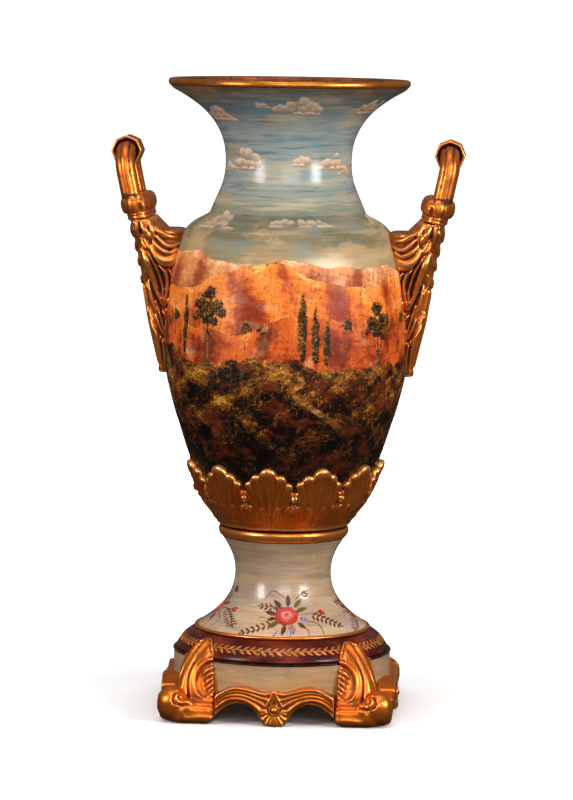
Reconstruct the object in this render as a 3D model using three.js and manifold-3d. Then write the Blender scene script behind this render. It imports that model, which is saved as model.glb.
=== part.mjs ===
// Floor vase: an ovoid body with a flared neck on a waisted stem, standing on a round plinth with
// scrolled corner brackets and serpentine aprons, with two draped handles. Millimetres, +Z up.
// The origin is on the floor, on the vase's axis. The front is -Y, and the handles are on -X and +X.
import * as THREE from "three";
import { mergeVertices } from "three/addons/utils/BufferGeometryUtils.js";
import Module from "manifold-3d";

const wasm = await Module();
wasm.setup();

// ---- Driving dimensions ----
const HEIGHT = 1000; // floor to the top of the lip
const SEGMENTS = 32; // round the axis
const GAP = 0.3; // between pieces that touch
const PAD_T = 1.7; // felt pad thickness
const FOOT_Z = PAD_T + GAP; // underside of the bracket feet and apron shells
const DRUM_R = 172.6;
const DRUM_Z = [44, 95.9];
const DOME_Z = [96.2, 128.1];
const STEM_Z = [128.4, 274.6];
const KNOP_Z = [274.9, 292.3];
const BODY_Z = [292.6, 789.8];
const NECK_Z = [790.1, 989.3];
const LIP_R = 190.7;
const FLOOR_T = 12.4; // floor of the body
const ROD_R = 5; // M10 tie rod
const ROD_Z = [44.6, 321];
const WASHER_T = 2.5;
const NUT_T = 9;
const NUT_AF = 17;
const SCREW_R = 2.9; // handle screws, M6
const SCREW_HEAD_R = 6.5;
const SCREWS = [
  { level: "upper", z: 727, headX: 158.8, length: 44 },
  { level: "lower", z: 618, headX: 175.5, length: 34 },
];
const HANDLE_X = 254.5; // grip centre from the axis
const HANDLE_Z = 884;
const GRIP_R = 26; // octagon, corner radius
const GRIP_HALF = 27; // half length along Y
const LEG_R = 15.5; // fluted bow
const LEG_Y = 47; // leg centre from the middle plane
const LEAN = THREE.MathUtils.degToRad(12.5); // the handle's lean away from the axis
const LEAVES = 11; // round the calyx
const LEAF_TIP_Z = 400;
const LEAF_VALLEY_Z = 363;
const LEAF_PHASE = THREE.MathUtils.degToRad(-96.5); // azimuth of one leaf's middle
const APRON_HALF = 92.9;
const APRON_Y = [157, 184]; // back and front of an apron board from the axis
const FOOT_IN = 93.4; // inner edge of a bracket foot
const KNOB = { at: 156, z: 35, r: 29 };

// ---- Colours and finish ----
const gilt = { color: 0xb5702c, roughness: 0.34, metalness: 0.75 };
const finish = {
  gilt,
  giltDark: { color: 0x8a4f1c, roughness: 0.4, metalness: 0.7 },
  sky: { color: 0x7fa0a3, roughness: 0.22, metalness: 0 },
  painted: { color: 0x9a6a3c, roughness: 0.22, metalness: 0 },
  cream: { color: 0xc3b596, roughness: 0.3, metalness: 0 },
  burgundy: { color: 0x4a120a, roughness: 0.25, metalness: 0 },
  steel: { color: 0x9a9c9e, roughness: 0.35, metalness: 1 },
  felt: { color: 0x2b2523, roughness: 0.95, metalness: 0 },
};

const group = new THREE.Group();
function place(name, geometry, look) {
  const mesh = new THREE.Mesh(geometry, new THREE.MeshStandardMaterial(look));
  mesh.name = name;
  group.add(mesh);
  return mesh;
}

// ---- Geometry helpers ----
// Six times the signed volume of an indexed geometry.
function signedVolume(geometry) {
  const p = geometry.getAttribute("position");
  const index = geometry.index.array;
  const a = new THREE.Vector3();
  const b = new THREE.Vector3();
  const c = new THREE.Vector3();
  let total = 0;
  for (let i = 0; i < index.length; i += 3) {
    a.fromBufferAttribute(p, index[i]);
    b.fromBufferAttribute(p, index[i + 1]);
    c.fromBufferAttribute(p, index[i + 2]);
    total += a.dot(b.cross(c));
  }
  return total;
}

// The same surface with only shared positions, its faces pointing out.
function closed(geometry) {
  const bare = new THREE.BufferGeometry();
  const source = geometry.index ? geometry.toNonIndexed() : geometry;
  bare.setAttribute("position", source.getAttribute("position"));
  const merged = mergeVertices(bare, 1e-3);
  const out = [];
  const index = merged.index.array;
  const flip = signedVolume(merged) < 0;
  for (let i = 0; i < index.length; i += 3) {
    const [a, b, c] = [index[i], index[i + 1], index[i + 2]];
    if (a === b || b === c || a === c) continue;
    out.push(a, flip ? c : b, flip ? b : c);
  }
  merged.setIndex(out);
  return merged;
}

function solidOf(geometry) {
  const g = closed(geometry);
  return new wasm.Manifold(
    new wasm.Mesh({
      numProp: 3,
      vertProperties: g.getAttribute("position").array,
      triVerts: new Uint32Array(g.index.array),
    }),
  );
}

function geometryOf(solid) {
  const m = solid.getMesh();
  const positions = new Float32Array(m.numVert * 3);
  for (let i = 0; i < m.numVert; i++)
    positions.set(
      m.vertProperties.subarray(i * m.numProp, i * m.numProp + 3),
      i * 3,
    );
  const g = new THREE.BufferGeometry();
  g.setAttribute("position", new THREE.BufferAttribute(positions, 3));
  g.setIndex(Array.from(m.triVerts));
  return g;
}

// A turned piece from [radius, height] points. A profile that doesn't start on the axis closes on itself.
function turned(profile, segments = SEGMENTS) {
  const points = profile.map(([r, z]) => new THREE.Vector2(r, z));
  if (profile[0][0] > 0) points.push(points[0].clone());
  const g = new THREE.LatheGeometry(points, segments);
  g.rotateX(Math.PI / 2);
  return closed(g);
}

// Radius at a height on a list of [radius, height] points that rises.
function radiusAt(profile, z) {
  for (let i = 1; i < profile.length; i++) {
    const [r0, z0] = profile[i - 1];
    const [r1, z1] = profile[i];
    if (z <= z1) return r0 + ((r1 - r0) * Math.max(z - z0, 0)) / (z1 - z0);
  }
  return profile[profile.length - 1][0];
}

// A closed solid through rings of equal point counts, capped at both ends.
function lofted(rings) {
  const n = rings[0].length;
  const positions = [];
  rings.forEach((ring) => ring.forEach((p) => positions.push(...p)));
  const index = [];
  for (let i = 0; i + 1 < rings.length; i++)
    for (let j = 0; j < n; j++) {
      const k = (j + 1) % n;
      const [a, b] = [i * n + j, i * n + k];
      index.push(a, b, b + n, a, b + n, a + n);
    }
  const cap = (ring, base, turn) => {
    const centre = [0, 1, 2].map(
      (k) => ring.reduce((s, p) => s + p[k], 0) / n,
    );
    const c = positions.length / 3;
    positions.push(...centre);
    for (let j = 0; j < n; j++) {
      const k = (j + 1) % n;
      index.push(...(turn ? [c, base + k, base + j] : [c, base + j, base + k]));
    }
  };
  cap(rings[0], 0, true);
  cap(rings[rings.length - 1], (rings.length - 1) * n, false);
  const g = new THREE.BufferGeometry();
  g.setAttribute(
    "position",
    new THREE.BufferAttribute(new Float32Array(positions), 3),
  );
  g.setIndex(index);
  return closed(g);
}

function cylinderAlong(axis, radius, from, to, at, segments = 20) {
  const g = new THREE.CylinderGeometry(radius, radius, to - from, segments);
  if (axis === "x") g.rotateZ(Math.PI / 2);
  if (axis === "z") g.rotateX(Math.PI / 2);
  const middle = (from + to) / 2;
  const [p, q] = at;
  if (axis === "x") g.translate(middle, p, q);
  if (axis === "y") g.translate(p, middle, q);
  if (axis === "z") g.translate(p, q, middle);
  return g;
}

const turnedTo = (geometry, degrees) =>
  geometry.clone().rotateZ(THREE.MathUtils.degToRad(degrees));

// ---- Lip, neck, body ----
place(
  "lip_ring",
  turned([
    [178.2, 989.6],
    [188.8, 989.6],
    [LIP_R, 993],
    [190.2, 997.6],
    [187, HEIGHT],
    [181, HEIGHT],
    [177.8, 996.5],
  ]),
  finish.gilt,
);

place(
  "neck",
  turned([
    [123, NECK_Z[0]],
    [119.4, 799.6],
    [111.3, 818.5],
    [103.7, 837.5],
    [100.1, 856.5],
    [99.7, 875],
    [101.5, 894],
    [107.3, 913],
    [116.5, 930],
    [129.5, 946.3],
    [146, 960.5],
    [167.3, 974.7],
    [184, 984.1],
    [188.6, NECK_Z[1]],
    [177, NECK_Z[1]],
    [164, 981],
    [142, 967],
    [124.5, 952],
    [110.5, 935],
    [101, 917],
    [94.8, 896],
    [92.8, 876],
    [93.2, 857],
    [97, 838],
    [105, 817],
    [116.2, NECK_Z[0]],
  ]),
  finish.sky,
);

const BODY_OUT = [
  [94, BODY_Z[0]],
  [104, 302],
  [117.5, 322],
  [128.5, 345],
  [142, 377],
  [156, 413],
  [171, 459],
  [183.7, 505],
  [190.3, 545],
  [191.6, 580],
  [190.4, 620],
  [186.8, 672],
  [180, 718],
  [171, 744],
  [156, 770.5],
  [123, BODY_Z[1]],
];
const BODY_IN = [
  [116.2, BODY_Z[1]],
  [116.2, 784],
  [151, 763],
  [164, 737],
  [172.5, 712],
  [179, 668],
  [182.6, 618],
  [183.6, 580],
  [182, 542],
  [175.5, 503],
  [163, 458],
  [148, 413],
  [134, 378],
  [120.5, 346],
  [109, 324],
  [98, 309],
  [88, BODY_Z[0] + FLOOR_T],
];
let body = solidOf(
  turned([
    [ROD_R + 0.8, BODY_Z[0]],
    ...BODY_OUT,
    ...BODY_IN,
    [ROD_R + 0.8, BODY_Z[0] + FLOOR_T],
  ]),
);
for (const { z } of SCREWS)
  for (const side of [-1, 1])
    body = body.subtract(
      solidOf(
        cylinderAlong("x", SCREW_R + GAP, side * 185 - 35, side * 185 + 35, [0, z], 12),
      ),
    );
place("body", geometryOf(body), finish.painted);

// The body filled in and grown by the clearance, to cut what stands against it.
const bodyClearance = solidOf(
  turned([
    [0, BODY_Z[0] - 5],
    [94.4, BODY_Z[0] - 5],
    ...BODY_OUT.map(([r, z]) => [r + 0.4, z]),
    [0, BODY_Z[1]],
  ]),
);

// ---- Leaf calyx: a ring of leaves that stands proud of the body ----
const CALYX_OUT = [
  [105.8, 292.9],
  [114.8, 304.2],
  [126.9, 323],
  [137.5, 346.8],
  [143.9, 361.4],
  [149.4, 375.6],
  [153.3, 388],
  [153.3, 394],
  [152.4, 401],
];
function calyx() {
  const columns = LEAVES * 6;
  const rows = 5;
  const outer = [];
  const inner = [];
  for (let i = 0; i <= rows; i++)
    for (let j = 0; j < columns; j++) {
      const angle = (j * 2 * Math.PI) / columns + LEAF_PHASE;
      const across = (j % 6) / 3; // 0 at a leaf's middle, 1 at the valley
      const off = Math.min(across, 2 - across);
      const top =
        LEAF_VALLEY_Z +
        (LEAF_TIP_Z - LEAF_VALLEY_Z) * Math.sqrt(1 - off * off * 0.999);
      const z = 292.9 + ((top - 292.9) * i) / rows;
      const thin = i === rows ? 2.6 : 0;
      const ro = radiusAt(CALYX_OUT, z) - thin - 1.2 * off;
      const ri = radiusAt(BODY_OUT, z) - 6;
      outer.push([ro * Math.cos(angle), ro * Math.sin(angle), z]);
      inner.push([ri * Math.cos(angle), ri * Math.sin(angle), z]);
    }
  const positions = [...outer, ...inner].flat();
  const base = outer.length;
  const index = [];
  const quad = (a, b, c, d) => index.push(a, b, c, a, c, d);
  for (let j = 0; j < columns; j++) {
    const k = (j + 1) % columns;
    for (let i = 0; i < rows; i++) {
      quad(i * columns + j, i * columns + k, (i + 1) * columns + k, (i + 1) * columns + j);
      quad(
        base + i * columns + k,
        base + i * columns + j,
        base + (i + 1) * columns + j,
        base + (i + 1) * columns + k,
      );
    }
    const t = rows * columns;
    quad(t + j, t + k, base + t + k, base + t + j);
    quad(k, j, base + j, base + k);
  }
  const g = new THREE.BufferGeometry();
  g.setAttribute(
    "position",
    new THREE.BufferAttribute(new Float32Array(positions), 3),
  );
  g.setIndex(index);
  return geometryOf(solidOf(g).subtract(bodyClearance));
}
place("leaf_calyx", calyx(), finish.gilt);

// ---- Knop, stem and its hem bead ----
place(
  "knop_ring",
  turned([
    [8, KNOP_Z[0]],
    [97.8, KNOP_Z[0]],
    [101, 278.6],
    [104.4, 284],
    [106.2, 289],
    [105, KNOP_Z[1]],
    [8, KNOP_Z[1]],
  ]),
  finish.gilt,
);

place(
  "foot_stem",
  turned([
    [134.8, STEM_Z[0]],
    [134.8, 133.2],
    [131, 137.3],
    [122, 143],
    [108, 154.1],
    [92.5, 170.2],
    [84, 184],
    [79, 198.5],
    [76.5, 214],
    [76.7, 226],
    [79, 238.5],
    [83.6, 251],
    [90, 263],
    [97.3, STEM_Z[1]],
    [8, STEM_Z[1]],
    [8, STEM_Z[1] - 10],
    [82, STEM_Z[1] - 10],
    [76, 251],
    [71, 238],
    [68.5, 222],
    [69, 208],
    [72, 192],
    [78, 177],
    [88, 163],
    [101, 149],
    [114, 139],
    [122, STEM_Z[0]],
  ]),
  finish.cream,
);

place(
  "foot_fillet",
  turned([
    [135.2, 128.5],
    [138.8, 128.5],
    [140.4, 131],
    [138.8, 133.4],
    [135.8, 134.2],
  ]),
  finish.gilt,
);

// ---- Plinth: burgundy dome ring on a cream drum ----
place(
  "dome_ring",
  turned([
    [8, DOME_Z[0]],
    [164.9, DOME_Z[0]],
    [164.6, 100.4],
    [161.5, 106.7],
    [157, 114.8],
    [150, 121.8],
    [141, 127.6],
    [139, DOME_Z[1]],
    [8, DOME_Z[1]],
  ]),
  finish.burgundy,
);

const BORE_R = 18; // counterbore for the lower nut
place(
  "plinth_drum",
  turned([
    [ROD_R + 0.8, DRUM_Z[0] + 12],
    [BORE_R, DRUM_Z[0] + 12],
    [BORE_R, DRUM_Z[0]],
    [DRUM_R, DRUM_Z[0]],
    [172.2, 88.8],
    [171.2, 92.3],
    [169, DRUM_Z[1]],
    [ROD_R + 0.8, DRUM_Z[1]],
  ]),
  finish.cream,
);

// The drum and dome with clearance, to cut what stands against them.
const plinthCore = solidOf(
  turned([
    [0, 43.6],
    [173.1, 43.6],
    [172.7, 89.2],
    [171.7, 92.7],
    [169.5, 96.3],
    [165.5, 96.3],
    [165.1, 100.7],
    [162, 107],
    [157.5, 115.1],
    [150.4, 122.2],
    [141.2, 128.4],
    [0, 128.4],
  ]),
);

// ---- Corner brackets ----
// Plan of a foot at the corner (+X, -Y): w is the front face, o the reach along it before the corner is cut.
function footRing(z, w, o) {
  return [
    [FOOT_IN, -w, z],
    [o - 15, -w, z],
    [w, -(o - 15), z],
    [w, -FOOT_IN, z],
    [128, -FOOT_IN, z],
    [FOOT_IN, -128, z],
  ];
}
// Plan of the console above the foot: inner edge (xi, -yf), ridge at distance r along the diagonal.
function consoleRing(z, xi, yf, r, dip) {
  const k = r / Math.SQRT2;
  const inside = 92;
  const mx = (xi + k) / 2;
  const my = (yf + k) / 2 - dip;
  return [
    [xi, -yf, z],
    [mx, -my, z],
    [k, -k, z],
    [my, -mx, z],
    [yf, -xi, z],
    [inside, -inside, z],
  ];
}
function bracket() {
  const foot = solidOf(
    lofted([
      footRing(FOOT_Z, 176, 172),
      footRing(18, 184, 185),
      footRing(30, 184.5, 186),
      footRing(41, 182, 184),
    ]),
  );
  const console_ = solidOf(
    lofted([
      consoleRing(36, 94, 164, 212, 0),
      consoleRing(50, 96, 155, 207, 3),
      consoleRing(62, 98, 151, 203, 5),
      consoleRing(76, 99, 148, 196, 5),
      consoleRing(90, 101, 144, 188, 3),
      consoleRing(100, 105, 136, 181, 1),
      consoleRing(110, 112, 126, 172.5, 0),
      consoleRing(117, 116.5, 119.5, 167.5, 0),
    ]),
  );
  const { at, z, r } = KNOB;
  const knob = solidOf(cylinderAlong("y", r, -184.5, -120, [at, z]))
    .add(solidOf(cylinderAlong("x", r, 120, 184.5, [-at, z])))
    .intersect(
      solidOf(lofted([footRing(4, 184.4, 187), footRing(70, 184.4, 187)])),
    );
  return geometryOf(foot.add(console_).add(knob).subtract(plinthCore));
}
const cornerBracket = bracket();
[
  ["front_right", 0],
  ["back_right", 90],
  ["back_left", 180],
  ["front_left", 270],
].forEach(([where, degrees]) =>
  place("corner_bracket_" + where, turnedTo(cornerBracket, degrees), finish.gilt),
);

// ---- Aprons: a serpentine board with a shell drop ----
const APRON_HALF_OUTLINE = [
  [0, FOOT_Z],
  [16.5, FOOT_Z],
  [21, 10],
  [27, 20],
  [36, 29.5],
  [48, 34.8],
  [60, 36],
  [74, 31],
  [86, 22],
  [APRON_HALF, 15],
  [APRON_HALF, 47],
  [80, 53.5],
  [68, 60],
  [56, 62.5],
  [42, 61],
  [28, 56.5],
  [18, 53.8],
  [8, 54.8],
  [0, 56.8],
];
function apron() {
  const mirrored = APRON_HALF_OUTLINE.slice(1, -1)
    .reverse()
    .map(([x, z]) => [-x, z]);
  const shape = new THREE.Shape(
    [...APRON_HALF_OUTLINE, ...mirrored].map(([x, z]) => new THREE.Vector2(x, z)),
  );
  const board = new THREE.ExtrudeGeometry(shape, {
    depth: APRON_Y[1] - APRON_Y[0],
    bevelEnabled: false,
  });
  board.rotateX(Math.PI / 2);
  board.translate(0, -APRON_Y[0], 0);
  const boss = cylinderAlong("y", 5.6, -APRON_Y[1] - 2.4, -APRON_Y[1] + 4, [0, 27], 14);
  return geometryOf(solidOf(board).add(solidOf(boss)).subtract(plinthCore));
}
const oneApron = apron();
[
  ["front", 0],
  ["right", 90],
  ["back", 180],
  ["left", 270],
].forEach(([where, degrees]) =>
  place("apron_" + where, turnedTo(oneApron, degrees), finish.gilt),
);

// ---- Felt pads under the feet ----
[
  ["front_right", 1, -1],
  ["back_right", 1, 1],
  ["back_left", -1, 1],
  ["front_left", -1, -1],
].forEach(([where, sx, sy]) =>
  place(
    "floor_pad_" + where,
    closed(cylinderAlong("z", 20, 0, PAD_T, [sx * 140, sy * 140], 24)),
    finish.felt,
  ),
);

// ---- Handles, built on the +X side and turned for the other ----
const lean = { x: Math.sin(LEAN), z: Math.cos(LEAN) };
const COLLAR_TOP = { x: 243.8, z: 814.8 };
// A point of the leaning handle: s up the lean, v outward across it.
const onHandle = (s, v) => [
  COLLAR_TOP.x + s * lean.x + v * lean.z,
  COLLAR_TOP.z + s * lean.z - v * lean.x,
];

function bow() {
  const half = [
    [COLLAR_TOP.x + 0.1, -LEG_Y, COLLAR_TOP.z + 0.4],
    [249.3, -LEG_Y, 838],
    [253.2, -LEG_Y, 857],
    [254.6, -44.8, 869.5],
    [254.8, -38.5, 878.5],
    [254.6, -29, 883.2],
    [HANDLE_X, -18, HANDLE_Z],
  ];
  const points = [
    ...half,
    [HANDLE_X, 0, HANDLE_Z],
    ...half
      .slice()
      .reverse()
      .map(([x, y, z]) => [x, -y, z]),
  ].map((p) => new THREE.Vector3(...p));
  const flutes = 8;
  const section = new THREE.Shape(
    Array.from({ length: flutes * 2 }, (_, i) => {
      const a = (i * Math.PI) / flutes;
      const r = i % 2 ? LEG_R - 1.8 : LEG_R;
      return new THREE.Vector2(r * Math.cos(a), r * Math.sin(a));
    }),
  );
  return closed(
    new THREE.ExtrudeGeometry(section, {
      steps: 18,
      bevelEnabled: false,
      extrudePath: new THREE.CatmullRomCurve3(points),
    }),
  );
}

function grip() {
  const ring = (radius, count, phase) =>
    Array.from({ length: count }, (_, i) => {
      const a = (i * 2 * Math.PI) / count + phase;
      return new THREE.Vector2(radius * Math.cos(a), radius * Math.sin(a));
    });
  const shape = new THREE.Shape(ring(GRIP_R, 8, Math.PI / 2));
  shape.holes.push(new THREE.Path(ring(LEG_R + 1.3, 16, 0).reverse()));
  const g = new THREE.ExtrudeGeometry(shape, {
    depth: 2 * GRIP_HALF,
    bevelEnabled: false,
  });
  g.rotateX(Math.PI / 2);
  g.translate(HANDLE_X, GRIP_HALF, HANDLE_Z);
  return closed(g);
}

// A closed ring of points on a superellipse between an outer and an inner edge, half-depth b along Y.
function edgeRing(out, inn, b, count = 20, power = 2.6) {
  const cx = (out[0] + inn[0]) / 2;
  const cz = (out[1] + inn[1]) / 2;
  return Array.from({ length: count }, (_, i) => {
    const a = (i * 2 * Math.PI) / count;
    const c = Math.sign(Math.cos(a)) * Math.abs(Math.cos(a)) ** (2 / power);
    const s = Math.sign(Math.sin(a)) * Math.abs(Math.sin(a)) ** (2 / power);
    return [
      cx + ((out[0] - inn[0]) / 2) * c,
      b * s,
      cz + ((out[1] - inn[1]) / 2) * c,
    ];
  });
}

function collar() {
  const at = (s, half, b, centre = -4) =>
    edgeRing(onHandle(s, centre + half), onHandle(s, centre - half), b);
  return lofted([
    at(-38, 19, 60, -5),
    at(-36, 21.5, 63, -5),
    at(-27, 22, 63.5, -5),
    at(-25, 19.5, 61, -4.5),
    at(-21, 22, 64),
    at(-13, 26, 68),
    at(-5, 24, 66),
    at(-0.4, 17.5, 62.5),
  ]);
}

function drape() {
  const top = [
    [onHandle(-38.4, 14), onHandle(-38.4, -25), 60],
    [[251.5, 762], [192, 768.5], 60],
    [[249, 753], [157, 761], 59],
    [[245.2, 742.7], [150, 748], 58.5],
    [[241.5, 727], [150, 727], 58],
    [[238.7, 713], [150, 711], 57],
    [[236.2, 700], [150, 699], 50],
    [[233.6, 685.4], [150, 685], 45],
    [[226.9, 647.6], [150, 647], 39],
    [[221.8, 618.7], [150, 618], 35],
    [[215.1, 590], [150, 590], 31],
    [[210.2, 569], [150, 569], 27],
    [[205.5, 548], [150, 548], 24],
    [[203.5, 538.5], [150, 538.5], 21],
  ];
  let solid = solidOf(
    lofted(top.reverse().map(([out, inn, b]) => edgeRing(out, inn, b, 20, 2.5))),
  ).subtract(bodyClearance);
  for (const { z, headX, length } of SCREWS)
    solid = solid.subtract(
      solidOf(
        cylinderAlong("x", SCREW_R + GAP, headX, headX + 5 + length + 1, [0, z], 12),
      ),
    );
  return geometryOf(solid);
}

function screw({ z, headX, length }) {
  const g = turned(
    [
      [0, 0],
      [SCREW_HEAD_R, 0],
      [SCREW_HEAD_R, 5],
      [SCREW_R, 5],
      [SCREW_R, 5 + length],
      [0, 5 + length],
    ],
    12,
  );
  g.rotateY(Math.PI / 2);
  g.translate(headX, 0, z);
  return g;
}

const handlePieces = [
  ["handle_bow_", bow(), finish.gilt],
  ["handle_grip_", grip(), finish.giltDark],
  ["handle_collar_", collar(), finish.gilt],
  ["handle_drape_", drape(), finish.gilt],
];
[
  ["right", 0],
  ["left", 180],
].forEach(([side, degrees]) => {
  for (const [name, geometry, look] of handlePieces)
    place(name + side, turnedTo(geometry, degrees), look);
  for (const one of SCREWS)
    place(
      "handle_screw_" + side + "_" + one.level,
      turnedTo(screw(one), degrees),
      finish.steel,
    );
});

// ---- Tie rod that clamps body, stem and plinth ----
place(
  "tie_rod",
  closed(cylinderAlong("z", ROD_R, ROD_Z[0], ROD_Z[1], [0, 0], 16)),
  finish.steel,
);
const washer = (z) =>
  turned(
    [
      [ROD_R + 0.4, z],
      [15, z],
      [15, z + WASHER_T],
      [ROD_R + 0.4, z + WASHER_T],
    ],
    16,
  );
function nut(z) {
  const corner = NUT_AF / Math.sqrt(3);
  const shape = new THREE.Shape(
    Array.from({ length: 6 }, (_, i) => {
      const a = (i * Math.PI) / 3;
      return new THREE.Vector2(corner * Math.cos(a), corner * Math.sin(a));
    }),
  );
  shape.holes.push(
    new THREE.Path(
      Array.from({ length: 16 }, (_, i) => {
        const a = (-i * Math.PI) / 8;
        return new THREE.Vector2(
          (ROD_R + 0.4) * Math.cos(a),
          (ROD_R + 0.4) * Math.sin(a),
        );
      }),
    ),
  );
  const g = new THREE.ExtrudeGeometry(shape, {
    depth: NUT_T,
    bevelEnabled: false,
  });
  g.translate(0, 0, z);
  return closed(g);
}
const topFloor = BODY_Z[0] + FLOOR_T;
place("rod_washer_top", washer(topFloor + GAP), finish.steel);
place("rod_nut_top", nut(topFloor + 2 * GAP + WASHER_T), finish.steel);
const boreTop = DRUM_Z[0] + 12;
place("rod_washer_bottom", washer(boreTop - GAP - WASHER_T), finish.steel);
place("rod_nut_bottom", nut(boreTop - 2 * GAP - WASHER_T - NUT_T), finish.steel);

export default group;
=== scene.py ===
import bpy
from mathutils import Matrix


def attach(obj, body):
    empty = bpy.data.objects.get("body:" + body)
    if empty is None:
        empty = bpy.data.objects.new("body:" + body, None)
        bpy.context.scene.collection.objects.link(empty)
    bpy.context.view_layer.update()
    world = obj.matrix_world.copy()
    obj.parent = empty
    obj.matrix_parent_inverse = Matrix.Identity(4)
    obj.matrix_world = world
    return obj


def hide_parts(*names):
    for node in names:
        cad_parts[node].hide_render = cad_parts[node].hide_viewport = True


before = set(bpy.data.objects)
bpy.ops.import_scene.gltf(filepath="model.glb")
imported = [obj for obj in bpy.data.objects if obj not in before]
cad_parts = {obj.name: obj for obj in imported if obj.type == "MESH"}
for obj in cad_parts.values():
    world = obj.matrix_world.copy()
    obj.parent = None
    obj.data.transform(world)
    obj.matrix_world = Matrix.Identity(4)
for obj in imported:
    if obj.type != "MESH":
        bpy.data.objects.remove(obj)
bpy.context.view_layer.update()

import math

import bmesh
import bpy
import numpy as np
from mathutils import Matrix, Vector

MM = 0.001
RNG = np.random.default_rng(20)

# ---------------------------------------------------------------- camera
AZ = math.radians(3.5)
DIST, CAM_Z, F_PX = 5923.0, 1120.4, 3751.0
ROLL = math.radians(0.8)
AIM_Z, AIM_SIDE = 491.6, 1.7


def camera_axes():
    c = Vector((DIST * math.sin(AZ), -DIST * math.cos(AZ), CAM_Z))
    side = Vector((math.cos(AZ), math.sin(AZ), 0))
    aim = Vector((0, 0, AIM_Z)) + side * AIM_SIDE
    f = (aim - c).normalized()
    r0 = f.cross(Vector((0, 0, 1))).normalized()
    u0 = r0.cross(f)
    r = r0 * math.cos(ROLL) + u0 * math.sin(ROLL)
    u = u0 * math.cos(ROLL) - r0 * math.sin(ROLL)
    return c, f, r, u


CAM_C, CAM_F, CAM_R, CAM_U = camera_axes()


def unproject(px, py, y):
    """Where the ray through an image point meets the plane at depth y: (x, z) in mm."""
    d = CAM_F * F_PX + CAM_R * (px - 286.5) + CAM_U * (400.0 - py)
    t = (y - CAM_C.y) / d.y
    p = CAM_C + d * t
    return p.x, p.z


def make_camera():
    cam = bpy.data.cameras.new("camera")
    cam.sensor_fit = "AUTO"
    cam.sensor_width = 36.0
    cam.lens = F_PX * 36.0 / 800.0
    cam.clip_start, cam.clip_end = 0.05, 100.0
    ob = bpy.data.objects.new("camera", cam)
    bpy.context.scene.collection.objects.link(ob)
    back = -CAM_F
    m = Matrix(
        (
            (CAM_R.x, CAM_U.x, back.x, CAM_C.x * MM),
            (CAM_R.y, CAM_U.y, back.y, CAM_C.y * MM),
            (CAM_R.z, CAM_U.z, back.z, CAM_C.z * MM),
            (0, 0, 0, 1),
        )
    )
    ob.matrix_world = m
    bpy.context.scene.camera = ob


# ---------------------------------------------------------------- curves and meshes
def catmull(points, step=1.0, smooth=0.0):
    """Evenly spaced points on a smooth open curve through the given ones, optionally blurred (mm)."""
    p = np.asarray(points, float)
    ext = np.vstack([2 * p[0] - p[1], p, 2 * p[-1] - p[-2]])
    out = []
    for i in range(1, len(ext) - 2):
        p0, p1, p2, p3 = ext[i - 1], ext[i], ext[i + 1], ext[i + 2]
        t = np.linspace(0, 1, 24, endpoint=False)[:, None]
        d1 = np.linalg.norm(p1 - p0) ** 0.5 + 1e-6
        d2 = np.linalg.norm(p2 - p1) ** 0.5 + 1e-6
        d3 = np.linalg.norm(p3 - p2) ** 0.5 + 1e-6
        m1 = (p1 - p0) / d1 - (p2 - p0) / (d1 + d2) + (p2 - p1) / d2
        m2 = (p2 - p1) / d2 - (p3 - p1) / (d2 + d3) + (p3 - p2) / d3
        m1, m2 = m1 * d2, m2 * d2
        out.append(
            (2 * t**3 - 3 * t**2 + 1) * p1
            + (t**3 - 2 * t**2 + t) * m1
            + (-2 * t**3 + 3 * t**2) * p2
            + (t**3 - t**2) * m2
        )
    out = np.vstack(out + [p[-1:]])
    return resample(out, step, smooth)


def resample(c, step, smooth=0.0):
    s = np.concatenate([[0], np.cumsum(np.linalg.norm(np.diff(c, axis=0), axis=1))])
    n = max(2, int(round(s[-1] / step)) + 1)
    at = np.linspace(0, s[-1], n)
    c = np.stack([np.interp(at, s, c[:, k]) for k in range(c.shape[1])], 1)
    if smooth > 0:
        k = max(1, int(smooth / (s[-1] / (n - 1))))
        w = np.exp(-0.5 * (np.arange(-2 * k, 2 * k + 1) / k) ** 2)
        w /= w.sum()
        pad = np.vstack(
            [2 * c[0] - c[1 : 2 * k + 1][::-1], c, 2 * c[-1] - c[-2 * k - 1 : -1][::-1]]
        )
        sm = np.stack([np.convolve(pad[:, j], w, "valid") for j in range(c.shape[1])], 1)
        sm[0], sm[-1] = c[0], c[-1]
        c = sm
    return c


def make_mesh(name, verts, faces, mats, face_mat=None, sharp=None):
    """An object from points in mm. faces is a list of index tuples or an (n, 4) array."""
    me = bpy.data.meshes.new(name)
    v = np.asarray(verts, float) * MM
    f = faces.tolist() if isinstance(faces, np.ndarray) else faces
    me.from_pydata(v.tolist(), [], f)
    me.validate(clean_customdata=False)
    me.polygons.foreach_set("use_smooth", np.ones(len(me.polygons), bool))
    for m in mats:
        me.materials.append(m)
    if face_mat is not None:
        me.polygons.foreach_set("material_index", np.asarray(face_mat, np.int32))
    me.update()
    if sharp:
        me.set_sharp_from_angle(angle=math.radians(sharp))
    ob = bpy.data.objects.new(name, me)
    bpy.context.scene.collection.objects.link(ob)
    return ob


def coords(ob):
    co = np.empty(len(ob.data.vertices) * 3, np.float32)
    ob.data.vertices.foreach_get("co", co)
    return co.reshape(-1, 3).astype(float) / MM


def set_coords(ob, co):
    ob.data.vertices.foreach_set("co", (np.asarray(co) * MM).astype(np.float32).ravel())
    ob.data.update()


def normals(ob):
    me = ob.data
    n = np.empty(len(me.vertices) * 3, np.float32)
    me.vertex_normals.foreach_get("vector", n)
    return n.reshape(-1, 3).astype(float)


def put_float(ob, name, values):
    a = ob.data.attributes.new(name, "FLOAT", "POINT")
    a.data.foreach_set("value", np.asarray(values, np.float32))


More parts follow.
